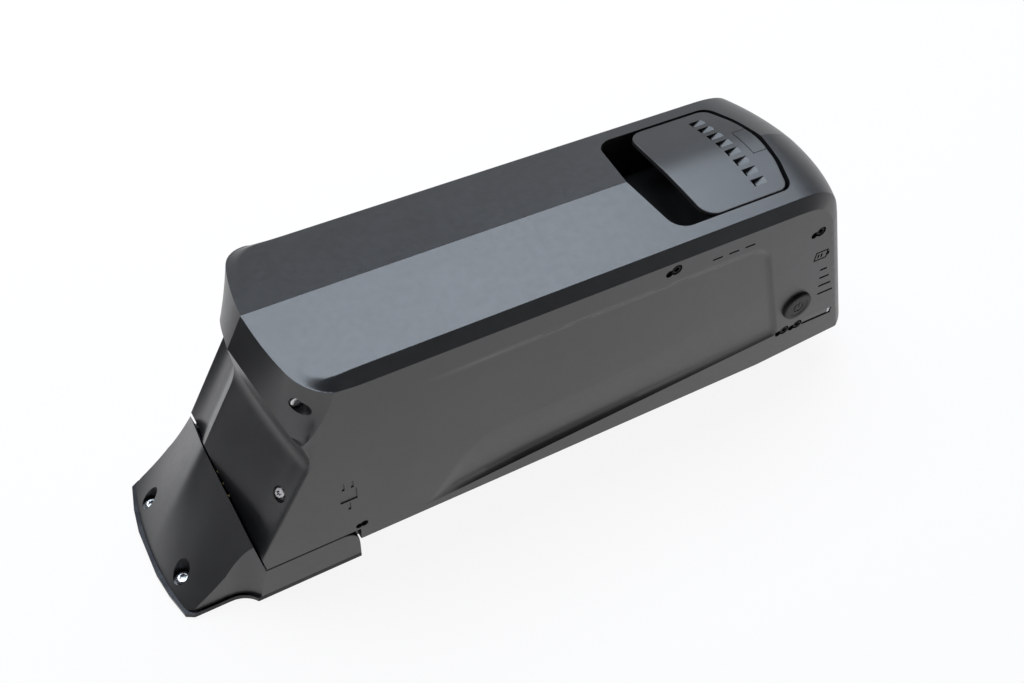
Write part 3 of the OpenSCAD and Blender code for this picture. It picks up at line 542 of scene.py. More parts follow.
class Finishes:
    """Every finish of the object, made once."""

    def __init__(self) -> None:
        """Make the materials, each under the record's slot that it belongs to."""
        kinds = {
            "shell": MouldedPlastic(
                "satin_black_shell", (0.012, 0.012, 0.013), (0.016, 0.0163, 0.0175), 0.36, gloss=0.75),
            "inner_plastic": MouldedPlastic(
                "plain_black_plastic", (0.008, 0.008, 0.0085), (0.012, 0.012, 0.0125), 0.5, grain=0.5),
            "rail": PlatedMetal(
                "black_anodised_rail", (0.02, 0.02, 0.022), (0.03, 0.03, 0.032), 0.38, (0.04, 1, 1), 0.3),
            "seal": SoftSkin("seal_rubber", grey(0.008), grey(0.014), 0.7, 0.5, 0.02),
            "rubber": SoftSkin("matte_rubber", grey(0.012), grey(0.02), 0.62, 0.4, 0.03),
            "steel": PlatedMetal("zinc_plated_steel", (0.5, 0.5, 0.51), (0.68, 0.68, 0.7), 0.3),
            "black_steel": PlatedMetal("black_oxide_steel", grey(0.006), grey(0.015), 0.5),
            "lock_metal": PlatedMetal("plated_die_casting", (0.5, 0.49, 0.46), (0.66, 0.65, 0.62), 0.28),
            "brass": PlatedMetal("bare_brass", (0.66, 0.47, 0.19), (0.82, 0.64, 0.3), 0.3),
            "aluminium": PlatedMetal(
                "bare_aluminium", (0.66, 0.67, 0.69), (0.8, 0.81, 0.83), 0.36, (0.05, 1, 1), 0.4),
            "nickel": PlatedMetal(
                "nickel_strip", (0.58, 0.57, 0.54), (0.72, 0.71, 0.68), 0.27, (0.05, 1, 1), 0.3),
            "cell_wrap": SoftSkin("shrink_wrap", (0.05, 0.26, 0.22), (0.08, 0.34, 0.3), 0.3, 0.8, 0.02, 0.4),
            "insulation": SoftSkin("pressed_paper", (0.28, 0.42, 0.29), (0.4, 0.55, 0.4), 0.85, 0.5, 0.06),
            "membrane": SoftSkin("vent_cloth", grey(0.68), grey(0.84), 0.9, 0.2, 0.04),
            "board": SoftSkin("solder_mask", (0.015, 0.12, 0.06), (0.03, 0.2, 0.1), 0.35, 0.6, 0.02, 0.3),
            "light_bar": SoftSkin(
                "smoked_light_guide", (0.006, 0.006, 0.007), (0.012, 0.012, 0.013), 0.25, 0.4, 0.01, 0.3),
            "lead_red": SoftSkin("red_silicone", (0.38, 0.015, 0.012), (0.55, 0.03, 0.025), 0.5, 0.5, 0.02),
            "lead_black": SoftSkin("black_silicone", grey(0.012), grey(0.02), 0.5, 0.5, 0.02),
        }
        self.materials = {slot: kind.make() for slot, kind in kinds.items()}

    def paint(self, obj: Obj, slot: str) -> None:
        """Put a slot's material on an object."""
        obj.data.materials.clear()
        obj.data.materials.append(self.materials[slot])

    def dress(self, obj: Obj, slot: str) -> None:
        """Give a piece the finish of a slot of the record."""
        self.paint(obj, slot)

    def dress_frame(self) -> None:
        """Give each node of the frame its finish."""
        for part in frame["record"]["subparts"]:
            self.paint(frame["nodes"][part["node"]], part["material_slot"])


def place_piece(obj: Obj, body: str, finishes: Finishes, slot: str, *nodes: str) -> None:
    """Give a piece its finish, put it on the body that it rides on and hide the CAD nodes that it stands for.

    Args:
        obj: the piece.
        body: the body that it rides on.
        finishes: the object's finishes.
        slot: the record's slot that it takes its finish from.
        nodes: the CAD nodes that it stands for.
    """
    finishes.dress(obj, slot)
    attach(obj, body)
    if nodes:
        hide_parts(*nodes)
    LOG.info("%s: %d faces on %s", obj.name, len(obj.data.polygons), body)


# The pack's shell


@dataclass
class ShellForm:
    """Outer form of the pack's near half, in millimetres.

    Slanted lines of the front and the side are given by X and Z of a point and the lean. The fades of the
    bevel are the stretches of X over which it widens, sharpens and steepens behind the front corner.
    """

    half_w: float = 44.0
    ridge_z: float = 123.48
    roof_fall: float = 0.1221
    rim_q: float = 44.3
    rim_corner: float = -99.0
    bevel_w: float = 5.0
    bevel_fall: float = 0.878
    bevel_widens: Point = (-124.0, -111.0)
    bevel_sharpens: Point = (-112.0, -92.0)
    bevel_steepens: Point = (-121.0, -99.0)
    tip_x: float = -121.7
    tip_z: float = 123.3
    top_r: float = 35.0
    top_x: float = 123.73
    rear_rake: float = 19.6
    rear_bow: float = 80.0
    rear_corner: float = 11.0
    crest_x: float = -146.29
    crest_z: float = 58.3
    flank_rise: float = 0.52724
    flank_sweep: float = 0.4545
    cove_depth: float = 5.65
    shoulder_mid: Point = (-129.0, 108.4, 0.105)
    shoulder_out: Point = (-123.0, 106.0, 0.284)
    shoulder_soft: float = 4.0
    hood_lean: float = 0.49
    side_lean: float = 0.016
    hood_foot: float = 88.0
    floor_z: float = 12.0
    seam_x: float = -140.5
    seam_z: float = 20.0
    seam_lean: float = 8.6
    heel: Point = (181.0, 0.0, 32.0)
    heel_out: Point = (20.0, 0.0, -16.0)
    wall: float = 2.6
    wall_top: float = 130.0
    panel_top: float = 101.8
    panel_right: Point = (106.9, 89.9, 0.3414)
    panel_corner: float = 9.0
    panel_depth: float = 1.2
    scoop_depth: float = 1.6
    parting: float = 0.05
    screw_bosses: Sequence[Point] = ((134.0, 97.2), (-115.0, 106.3), (-127.5, 53.0))
    boss_r: float = 3.2
    ribs: Point = (-71.8, -11.8, 68.2)

    def roof_points(self) -> Array:
        """Points of the roof and the rear as one sheet, in rows from the ridge outwards."""
        turn_end = math.radians(90 - self.rear_rake)
        tip = np.concatenate([np.arange(-170.0, -125.0, 5.0), np.arange(-125.0, -95.0, 0.8)])
        flat = np.linspace(-95.0, self.top_x, 38)[:-1]
        turns = np.linspace(0.0, turn_end, 28)
        drops = np.linspace(0.0, 130.0, 24)[1:]
        lean = np.array([math.sin(turn_end), math.cos(turn_end)])
        arc = np.array([self.top_x, self.ridge_z - self.top_r]) + self.top_r * columns(
            np.sin(turns), np.cos(turns))
        rake = arc[-1] + drops[:, None] * np.array([lean[1], -lean[0]])
        front = np.concatenate([tip, flat])
        profile = np.concatenate([columns(front, self.ridge_z), arc, rake])
        angle = np.concatenate([np.zeros(len(front)), turns, np.full(len(drops), turn_end)])

        across = np.concatenate(
            [np.linspace(-3, 29, 9)[:-1], np.linspace(29, 39, 12)[:-1], np.linspace(39, 45, 31)])
        rows = []
        slide = ease(60.0, self.top_x, profile[:, 0])
        bow = 0.6 + 0.4 * ease(math.radians(20), turn_end, angle)
        flat_share = 1 - ease(0.0, math.radians(60), angle)
        bevel_share = 1 - ease(math.radians(40), math.radians(75), angle)
        for q in across:
            x = profile[:, 0] - slide * bow * self.rear_depth(q)
            cut = self.bevel_depth(x, q) * bevel_share
            x = x - np.sin(angle) * cut
            z = profile[:, 1] - flat_share * self.roof_fall * q - np.cos(angle) * cut
            rows.append(columns(x, -q, z))
        return np.array(rows)

    def rear_depth(self, q: float) -> float:
        """How far the rear lies ahead of its middle: a bow, and a corner that meets the side."""
        corner = self.half_w - self.rear_corner + 0.55
        reach = self.rear_bow - self.rear_corner
        if q < corner * self.rear_bow / reach:
            return self.rear_bow - math.sqrt(self.rear_bow ** 2 - q * q)
        turn = min(q - corner, self.rear_corner - 0.05)
        inward = self.rear_bow - math.sqrt(reach ** 2 - corner ** 2)
        return inward - math.sqrt(self.rear_corner ** 2 - turn ** 2) + 4 * (q - corner - turn)

    def bevel_depth(self, x: Array, q: float) -> Array:
        """Depth of the bevel along the roof's edge at a distance q from the centre line."""
        rim = self.hood_plan(240)
        rim = rim[rim[:, 0] < self.rim_corner + 1]
        near_rim = np.array([np.hypot(rim[:, 0] - at, rim[:, 1] - q).min() for at in x])
        edge = np.where(x > self.rim_corner, self.rim_q - q, near_rim)
        wide = self.bevel_w * ease(*self.bevel_widens, x)
        under = np.clip(wide - edge, 0, None)
        soft = 0.01 + 2.5 * (1 - ease(*self.bevel_sharpens, x))
        return self.bevel_fall * ease(*self.bevel_steepens, x) * under * under / (under + soft)

    def hood_plan(self, steps: int = 25) -> Array:
        """Roof's rim seen from above, from the centre line round the front corner and along the side."""
        q = np.concatenate([[-6.0, -3.0], np.linspace(0, 30, steps - 9)])
        x = self.tip_x + 0.12 * q + np.clip(q, 0, None) ** 2 / 480
        rim = self.rim_q
        turn = bezier([(x[-1], 30.0), (x[-1] + 1.4, 35.8), (-111.5, rim), (self.rim_corner, rim)], steps)
        return np.concatenate([columns(x, q), turn, columns(np.linspace(-96, 260, 90), rim)])

    def front_x(self, q: Array, z: Array) -> Array:
        """Front face of the pack: the flank with its cove, and the shoulder under the hood."""
        t = np.clip(q / self.half_w, 0, 1)
        cove = self.cove_depth * 6.75 * t * t * (1 - t)
        flank = self.crest_x + self.flank_rise * (z - self.crest_z) + self.flank_sweep * q + cove
        middle, outer = (x + lean * (at - z) for x, at, lean in (self.shoulder_mid, self.shoulder_out))
        shoulder = middle + (outer - middle) * q / self.half_w
        soft = self.shoulder_soft
        mix = np.clip(0.5 + 0.5 * (shoulder - flank) / soft, 0, 1)
        return shoulder + (flank - shoulder) * mix - soft * mix * (1 - mix)

    def crease(self, x: Array) -> Array:
        """Height of the upper edge of the side's scoop."""
        at = [-66, -55, -47, -41, -33, -20, 20, 60, 96, 118, 140]
        height = [17.6, 33, 44, 48.5, 50.3, 50.9, 51.7, 57, 64, 68, 72]
        return np.mean([np.interp(x + t, at, height) for t in np.linspace(-5, 5, 9)], axis=0)

    def lip(self, x: Array) -> Array:
        """Height of the ledge under the scoop."""
        return 17.5 + 0.0761 * (np.clip(x, -66, None) + 65)

    def recess(self, x: Array, z: Array) -> Array:
        """Depth of the side's panel and scoop."""
        corner = self.panel_corner
        from_top = self.panel_top - z
        right_x, right_z, lean = self.panel_right
        from_right = 0.947 * (right_x + (right_z - z) * lean - x)
        inner = corner - np.hypot(corner - from_top, corner - from_right)
        in_corner = (from_top < corner) & (from_right < corner)
        inside = np.where(in_corner, inner, np.minimum(from_top, from_right))
        sideways = np.clip(0.5 + (from_top - from_right) / 12, 0, 1)
        t = np.clip(inside / (2.5 + 0.7 * sideways), 0, 1)
        edge = (1 - sideways) * (t * t * (3 - 2 * t)) + sideways * (1 - (1 - t) ** 2.2)
        panel = self.panel_depth * edge * ease(-75.0, -10.0, x)
        crease, lip = self.crease(x), self.lip(x)
        tall = np.clip(crease - lip, 0.01, None)
        down = np.clip((crease - z) / tall, 0, 1)
        right = 1 - (1 - np.clip(from_right / 3.2, 0, 1)) ** 2.2
        fade = 1 - 0.6 * ease(0.0, 110.0, x)
        scoop = self.scoop_depth * down ** 1.2 * np.clip((crease - lip) / 20, 0, 1) * right * fade
        rise = np.clip((z - lip) / 3.0, 0, 1)
        return (panel + scoop) * (1 - (1 - rise) ** 2)

    def wall_points(self) -> Array:
        """Points of the front and the side as one sheet, in rows from the bottom upwards."""
        side_x = np.concatenate([np.arange(-100, 96, 1.7), np.arange(96, 130, 0.7), np.arange(130, 180, 2.5),
                                 np.linspace(180, 260, 6)])
        below = [self.wall_row(False, z, side_x) for z in (-18.0, -9.0, -4.0, -1.5, -0.6, -0.15)]
        above = [self.wall_row(True, t, side_x) for t in np.linspace(0, 1, 96)]
        return np.array(below + above)

    def wall_row(self, above: bool, value: float, side_x: Array) -> Array:
        """One row of the wall.

        Args:
            above: whether the row lies over the ledge of the scoop.
            value: share of the way up to the top, or height under the ledge.
            side_x: places of the columns along the side.

        Returns:
            The row's points.
        """
        def level(x: Array) -> Array:
            lip = self.lip(x)
            return lip + (self.wall_top - lip) * value if above else lip + value

        corner_z = float(level(np.array([-100.0]))[0])
        round_off = 0.8 + 4.5 * float(ease(80.0, 92.0, np.array(corner_z)))
        q = np.concatenate([[-6.0, -3.0], np.linspace(0, self.half_w - round_off, 36)])
        front = columns(self.front_x(q, np.full_like(q, corner_z)), -q, corner_z)
        edge_x = float(self.front_x(np.array([self.half_w]), np.array([corner_z]))[0])
        turn_x = edge_x + round_off
        edge = (edge_x, -self.half_w, corner_z)
        bend = bezier([front[-1], edge, (turn_x, -self.half_w, corner_z)], 7)[:-1]
        x = np.concatenate([np.linspace(turn_x, -100, 16)[:-1], side_x])
        z = level(np.clip(x, -100, None))
        depth = self.recess(x, z) if above else 0.0
        return np.concatenate([front, bend, columns(x, -self.half_w + depth, z)])

    def roof_solid(self) -> Obj:
        """Everything under the roof and in front of the rear."""
        return sheet("roof_solid", self.roof_points(), push_down)

    def wall_solid(self) -> Obj:
        """Everything behind the front and inside the side."""
        return sheet("wall_solid", self.wall_points(), push_back)

    def hood_solid(self) -> Obj:
        """Everything behind the hood's face, which leans most at the ridge and stands up at the side."""
        plan = self.hood_plan()
        out = plan[:, 1] / self.half_w
        front = self.hood_lean * (1 - 0.35 * out - 0.65 * out * np.abs(out))
        corner = ease(-117.0, -99.0, plan[:, 0]) * (plan[:, 1] > 30)
        ahead = 1 - ease(-96.0, 200.0, plan[:, 0])
        heights = np.concatenate([[-60, -20, 20, 50, 70], np.linspace(80, 132, 36), [160]])
        rows = []
        for z in heights:
            down = min(max(0.0, self.tip_z - z), self.tip_z - self.hood_foot)
            step = front * down * (1 - corner) + self.side_lean * down * down * corner
            x = plan[:, 0] - ahead * (step + 4 * max(0.0, self.hood_foot - z))
            rows.append(columns(x, -plan[:, 1], z))
        return sheet("hood_solid", np.array(rows), push_back)

    def outer(self) -> Obj:
        """The near half's outer form, closed."""
        body = carve(self.roof_solid(), self.hood_solid(), Work.KEEP)
        body = carve(body, self.wall_solid(), Work.KEEP)
        carve(body, half_space("lower_edge", (0, -self.half_w, self.floor_z + 1.5), (0, -1, -1)))
        return self.trim(body, 0.0)

    def trim(self, body: Obj, inset: float) -> Obj:
        """Cut the form at the seam, the heel and the floor, moved inwards by an inset."""
        lean = math.radians(self.seam_lean)
        out = Vector((-math.cos(lean), 0, -math.sin(lean)))
        heel = Vector(self.heel_out).normalized()
        carve(body, half_space("seam_side", Vector((self.seam_x, 0, self.seam_z)) - out * inset, out))
        carve(body, half_space("heel_side", Vector(self.heel) - heel * inset, heel))
        carve(body, half_space("under_side", (0, 0, self.floor_z + inset), (0, 0, -1)))
        return body

    def inner(self) -> Obj:
        """The hollow of the near half, past the parting plane."""
        wall = self.wall
        roof = moved(self.roof_solid(), (-1.1 * wall, 0, -1.1 * wall))
        body = carve(roof, moved(self.hood_solid(), (1.25 * wall, wall, 0)), Work.KEEP)
        body = carve(body, moved(self.wall_solid(), (1.25 * wall, wall, 0)), Work.KEEP)
        self.trim(body, wall)
        notch(body, "channel_walls", (-FAR, -26.1, 0), (167.1, FAR, 20.1))
        notch(body, "tongue_backing", (-FAR, -FAR, 0), (-95.9, -37.9, 22.9))
        for x, z in self.screw_bosses:
            bore(body, "boss", self.boss_r, (x, -self.half_w, z), (x, self.half_w, z), 32)
        for x in self.ribs:
            notch(body, "rib", (x, OUT, 0), (x + 2, -33.5, 81))
        return body


@dataclass(frozen=True)
class GaugeRow:
    """Where the gauge's bars lie on the near side, in millimetres."""

    count: int = 4
    x: float = 146.615
    z: float = 51.0
    pitch: float = 6.0
    slant: float = 1.33
    longest: float = 9.25
    shorter: float = 1.75

    def bars(self) -> list[Point]:
        """Left end, height and length of each bar, from the lowest up."""
        return [(self.x - self.slant * i, self.z + self.pitch * i, self.longest - self.shorter * i)
                for i in range(self.count)]


@dataclass
class ShellHalves:
    """Both halves of the pack's shell, with their openings."""

    form: ShellForm
    finishes: Finishes
    gauge: GaugeRow
    button: "PressButton"
    through: float = -38.0
    bore_r: float = 1.6
    vents_x: Point = (70.6, 79.4, 88.2)
    vents_z: float = 106.5
    vent_l: float = 5.4
    vent_h: float = 0.9
    tub_screw: Point = (51.2, 109.4)
    rear_screw: Point = (134.0, 97.2)
    carrier_screws: Sequence[Point] = ((131.0, 33.0), (139.2, 33.3))
    pocket_y: float = 32.5
    pocket_front: float = 53.0
    pocket_back: float = 127.2
    pocket_point: float = 5.5
    hood_screw: Point = (-115.0, -34.8, 106.3)
    hood_out: Point = (-0.5, -0.75, 0.43)
    cove_screw: Point = (-127.3, -33.28, 53.99)
    cove_out: Point = (-0.65, -0.45, 0.61)
    cove_shift: Point = (0.2, -0.8, 0.0)

    def build(self) -> None:
        """Build both halves and hand them to the pack."""
        blank = carve(self.form.outer(), self.form.inner())
        self.shared_openings(blank)
        far_half = mirrored(blank, "far_half")
        blank.name = "near_half"
        parting = self.form.parting
        notch(blank, "far_side", (-FAR, -parting, -FAR), (FAR, FAR, FAR))
        notch(far_half, "near_side", (-FAR, -FAR, -FAR), (FAR, parting, FAR))
        self.near_openings(blank)
        self.far_openings(far_half)
        for half, node in ((blank, "near_shell"), (far_half, "far_shell")):
            smooth(half)
            place_piece(half, "pack", self.finishes, "shell", node)

    def shared_openings(self, body: Obj) -> None:
        """Cut what both halves have: rail channel, tongue room, plug slot and pocket."""
        for name, low, high in (
                ("channel_neck", (-FAR, -19.5, 0), (164.5, FAR, 14.7)),
                ("channel", (-FAR, -23.5, 14.6), (164.5, FAR, 17.9)),
                ("tongue_room", (-FAR, OUT, 0), (-98.2, -40.5, 20.9)),
                ("plug_slot", (-FAR, -15.8, 22.7), (-128, FAR, 36.3))):
            notch(body, name, low, high)
        pocket = hatch(self.pocket_front, self.pocket_point, self.pocket_back, self.pocket_y, (0, 9, 7))
        carve(body, prism("pocket", pocket, 93.9, 160))

    def hole(self, body: Obj, name: str, radius: float, at: Point, end: float, sides: int = 40) -> None:
        """Cut a round hole into the near side at a place in X and Z, up to an end along Y."""
        bore(body, name, radius, (at[0], OUT, at[1]), (at[0], end, at[1]), sides)

    def near_openings(self, body: Obj) -> None:
        """Cut the near side's openings: button, gauge, vents, strip and screws."""
        button = self.button
        self.hole(body, "button_hole", button.radius + 0.2, (button.x, button.z), self.through, 72)
        for x, z, length in self.gauge.bars():
            notch(body, "gauge_window", (x - 0.1, OUT, z - 0.6), (x + length + 0.1, self.through, z + 0.6))
        for x in self.vents_x:
            low, high = self.vents_z - self.vent_h / 2, self.vents_z + self.vent_h / 2
            notch(body, "vent", (x, OUT, low), (x + self.vent_l, self.through, high))
        for x, z in (self.tub_screw, self.rear_screw, *self.carrier_screws):
            self.hole(body, "screw_hole", 2.75, (x, z), -40)
            self.hole(body, "screw_lobe", 1.9, (x - 3.5, z - 1.0), -42.2, 32)
        self.hole(body, "drain_hole", 1.8, (-96.4, 24.0), -42.2, 32)
        self.hole(body, "drain_lobe", 1.6, (-98.8, 23.7), -42.4, 32)
        notch(body, "strip_seat", (142.2, OUT, 31.5), (160.9, -42.7, 35.7))
        self.screw_rooms(body)
        self.engrave_signs(body)

    def screw_rooms(self, body: Obj) -> None:
        """Sink the rooms of the hood's and the cove's screws, with their bores."""
        x, y, z = self.hood_screw
        head, out = Vector(self.hood_screw), Vector(self.hood_out).normalized()
        self.hole(body, "hood_screw_room", 3.1, (x, z), y + 1.4)
        bore(body, "hood_screw_way", 3.0, head + out * 1.5, head + out * 30, 40)
        self.hole(body, "hood_screw_bore", self.bore_r, (x, z), 5, 24)
        head, out = Vector(self.cove_screw), Vector(self.cove_out).normalized()
        room = head + Vector(self.cove_shift)
        bore(body, "cove_screw_room", 3.6, room - out * 1.35, room + out * 12, 40)
        bore(body, "cove_screw_bore", self.bore_r, head - out * 12, head + out, 24)

    def engrave_signs(self, body: Obj) -> None:
        """Engrave the plain signs of the side: a battery over the gauge and a plug by the nose."""
        battery, plug = -self.form.half_w + 1.1, -self.form.half_w + 0.45
        case = block("sign", (135.6, OUT, 77.2), (143.4, battery, 83.0))
        carve(body, notch(case, "sign_room", (136.4, OUT - 1, 78.0), (142.6, -40, 82.2)))
        for left, low, right, high, deep in (
                (143.4, 79.0, 144.4, 81.2, battery), (137.3, 78.8, 138.3, 81.4, battery),
                (139.2, 78.8, 140.2, 81.4, battery), (-106.0, 44.5, -98.4, 52.0, plug),
                (-104.8, 53.0, -103.6, 57.5, plug), (-100.8, 53.0, -99.6, 57.5, plug),
                (-102.8, 38.5, -101.6, 43.5, plug)):
            notch(body, "sign_bar", (left, OUT, low), (right, deep, high))

    def far_openings(self, body: Obj) -> None:
        """Cut the far side's openings: key, charging socket and its strap, screw and lock bolt."""
        for name, radius, x, z, start, sides in (
                ("key_hole", 7.2, 148, 28, 30, 64), ("charge_hole", 6.7, -70, 103, 30, 64),
                ("strap_hole", 1.6, -85.5, 103, 30, 24), ("far_screw_hole", 2.8, *self.tub_screw, 40, 40)):
            bore(body, name, radius, (x, start, z), (x, 60, z), sides)
        notch(body, "bolt_slot", (146.8, 7.8, 10), (157.2, 13.2, 22))
        for x, z in self.form.screw_bosses:
            bore(body, "screw_end", self.bore_r, (x, -5, z), (x, 14, z), 24)


@dataclass
class CarryFlap:
    """Flap over the finger pocket, crowned like the roof, with a row of grip slots."""

    finishes: Finishes
    half_y: float = 31.5
    front: float = 72.0
    point: float = 2.75
    back: float = 125.0
    thick: float = 2.6
    top_z: float = 123.18
    pin_x: float = 113.0
    pin_z: float = 116.2
    crown: float = 3.85
    crown_soft: float = 10.0
    grips: int = 8
    grip_pitch: float = 6.6
    grip_x: float = 104.7
    grip_l: float = 7.4
    grip_w: float = 3.9
    knuckle_r: float = 3.2
    knuckle_y: float = 12.7
    pin_r: float = 1.25

    def drop(self, y: float) -> float:
        """How far the crown has fallen at a distance from the centre line."""
        full = math.hypot(self.half_y, self.crown_soft) - self.crown_soft
        return self.crown * (math.hypot(y, self.crown_soft) - self.crown_soft) / full

    def plate(self) -> Obj:
        """The flap's plate with rounded edges, crowned."""
        outline = hatch(self.front, self.point, self.back, self.half_y, (120, 8, 6))
        obj = prism("carry_flap", outline, -self.thick, 0.0)
        for level, steps in ((0.0, 4), (-self.thick, 2)):
            choose_edges(obj, lambda at: abs(at.z - level * MM) < 1e-6)
            bevel(obj, "EDGE", 0.5, steps)
        mode("EDIT")
        for y in np.arange(-30, 30.1, 1.5):
            bpy.ops.mesh.select_all(action="SELECT")
            bpy.ops.mesh.bisect(plane_co=(0, y * MM, 0), plane_no=(0, 1, 0))
        mode("OBJECT")
        for vertex in obj.data.vertices:
            vertex.co.z += (self.top_z - self.drop(vertex.co.y / MM)) * MM
        return obj

    def build(self) -> None:
        """Build the flap with its knuckle and slots and put it on its hinge."""
        obj = self.plate()
        x, z, r, y = self.pin_x, self.pin_z, self.knuckle_r, self.knuckle_y
        knuckle = rod("knuckle", r, (x, -y, z), (x, y, z), 40)
        web = block("web", (x - r, -y, z), (x + r, y, self.top_z - 1.5))
        carve(obj, carve(knuckle, web, Work.JOIN), Work.JOIN)
        bore(obj, "pin_bore", self.pin_r, (x, -50, z), (x, 50, z), 32)
        for i in range(self.grips):
            y = (i - (self.grips - 1) / 2) * self.grip_pitch
            z = self.top_z - self.drop(y)
            x0, x1 = self.grip_x, self.grip_x + self.grip_l
            wedge = [(x0, z - 4), (x0 + 2.6, z - 4), (x0 + 2.6, z - 2.1), (x1, z), (x1, z + 5), (x0, z + 5)]
            carve(obj, prism("grip", wedge, y - self.grip_w / 2, y + self.grip_w / 2, Way.ACROSS))
        z = self.top_z - self.drop(8.0)
        for near, right, far in ((-8, 116.6, 8), (-8.4, 124, -8), (8, 124, 8.4)):
            notch(obj, "hinge_line", (116.2, near, z - 0.25), (right, far, z + 4))
        smooth(obj, 20)
        place_piece(obj, "flap", self.finishes, "shell", "handle_flap")


@dataclass
class DockNose:
    """Nose of the base: a sloped cover with scalloped sides, two tongues and counterbored screws."""

    finishes: Finishes
    form: ShellForm
    tip_x: float = -179.4
    bow: float = 4.6
    half_w: float = 37.4
    full_w: float = 43.95
    scallop_x: float = -157.0
    scallop_y: float = 50.5
    scallop_r: float = 12.9
    scallop_h: float = 50.0
    scallop_widens: float = 1.5
    scallop_lean: float = 0.2
    sag: float = 2.2
    sag_grows: Point = (8.0, 36.0)
    floor_z: float = 2.5
    seam_gap: float = 0.8
    wall: float = 2.5
    tongue_start: float = -146.0
    tongue_end: float = -99.0
    tongue_in: float = 40.8
    tongue_top: float = 20.0
    tongue_r: float = 8.0
    screw_x: float = -171.5
    screw_y: float = 21.3
    head_z: float = 5.8
    room_r: float = 4.1
    post_r: float = 5.6

    def front_x(self, y: Array) -> Array:
        """Front edge of the nose."""
        return self.tip_x + self.bow * (y / self.half_w) ** 2

    def slope_points(self, inset: float) -> Array:
        """Points of the sloped top, in rows from one side to the other."""
        lean = math.tan(math.radians(self.form.seam_lean))
        t = np.linspace(-0.15, 1.15, 40)
        rows = []
        for y in np.linspace(-46, 46, 70):
            q = math.sqrt(y * y + 2.5 ** 2) - 1.2
            top_z = self.form.crest_z - self.form.flank_sweep * q / (self.form.flank_rise + lean)
            top_x = self.form.seam_x - (top_z - self.form.seam_z) * lean
            foot = float(self.front_x(np.array(y)))
            share = float(ease(*self.sag_grows, np.array(abs(y))))
            sag = self.sag * np.sin(np.pi * np.clip(t, 0, 1)) * share
            x = foot + (top_x - foot) * t + 0.75 * inset
            z = self.floor_z + (top_z - self.floor_z) * t - sag - inset
            rows.append(columns(x, y, z))
        return np.array(rows)

    def outline(self, inset: float) -> Outline:
        """Outline of the nose from above, without its scallops."""
        y = np.linspace(-self.half_w + 6, self.half_w - 6, 15)
        front = [(float(self.front_x(v)) + inset, float(v), 0) for v in y]
        half, full = self.half_w - inset, self.full_w - inset
        corner = float(self.front_x(np.array(self.half_w))) + inset
        far = [(corner, half, 5.0), (self.scallop_x, half, 0), (self.scallop_x, full, 0), (-110, full, 0)]
        return rounded([*front, *far, *((x, -y, radius) for x, y, radius in reversed(far))])

    def scallop(self, side: Side, grow: float) -> Obj:
        """Leaning, widening column that hollows one side ahead of the tongue."""
        radius, tall = self.scallop_r + grow, self.scallop_h
        clear()
        bpy.ops.mesh.primitive_cone_add(
            vertices=96, radius1=radius * MM, radius2=(radius + self.scallop_widens) * MM, depth=tall * MM,
            location=(self.scallop_x * MM, side.value * self.scallop_y * MM, tall / 2 * MM))
        obj = seat(bpy.context.object, "scallop")
        for vertex in obj.data.vertices:
            vertex.co.x += self.scallop_lean * vertex.co.z
        return obj

    def solid(self, inset: float) -> Obj:
        """The nose's form, moved inwards by an inset."""
        body = sheet("dock_nose", self.slope_points(inset), push_down)
        carve(body, prism("nose_plan", self.outline(inset), self.floor_z, 90), Work.KEEP)
        lean = math.radians(self.form.seam_lean)
        back = Vector((math.cos(lean), 0, math.sin(lean)))
        seam = Vector((self.form.seam_x, 0, self.form.seam_z)) - back * (self.seam_gap + inset)
        return carve(body, half_space("behind_seam", seam, back))

    def tongue(self, side: Side) -> Obj:
        """Tongue along one side of the pack, with its upper end rounded."""
        start, end, low, high = self.tongue_start, self.tongue_end, self.floor_z, self.tongue_top
        outline = rounded([(start, low, 0), (end, low, 0), (end, high, self.tongue_r), (start, high, 0)])
        inner, outer = side.value * self.tongue_in, side.value * self.full_w
        obj = prism("tongue", outline, min(inner, outer), max(inner, outer), Way.ACROSS)
        choose_edges(obj, lambda at: abs(at.y - outer * MM) < 1e-6 and at.z > 3 * MM)
        bevel(obj, "EDGE", 0.5, 3)
        return obj

    def build(self) -> None:
        """Build the nose and put it on the base."""
        body = self.solid(0.0)
        hollow = self.solid(self.wall)
        for side in Side:
            carve(hollow, self.scallop(side, self.wall))
        hollow.data.transform(Matrix.Translation((0, 0, -1.0 * MM)))
        for y in (-self.screw_y, self.screw_y):
            bore(hollow, "screw_post", self.post_r, (self.screw_x, y, 0), (self.screw_x, y, 60), 40)
        carve(body, hollow)
        notch(body, "under_nose", (-FAR, -FAR, -FAR), (FAR, FAR, self.floor_z))
        for side in Side:
            carve(body, self.tongue(side), Work.JOIN)
            carve(body, self.scallop(side, 0.0))
        for y in (-self.screw_y, self.screw_y):
            seat_z = self.head_z - 1.6
            bore(body, "counterbore", self.room_r, (self.screw_x, y, seat_z), (self.screw_x, y, 60), 64)
            bore(body, "screw_bore", 1.6, (self.screw_x, y, 0), (self.screw_x, y, 60), 32)
        notch(body, "socket_room", (-153.72, -15.55, 22.7), (FAR, 15.55, 36.02))
        smooth(body, 30)
        place_piece(body, "base", self.finishes, "shell", "base_nose")


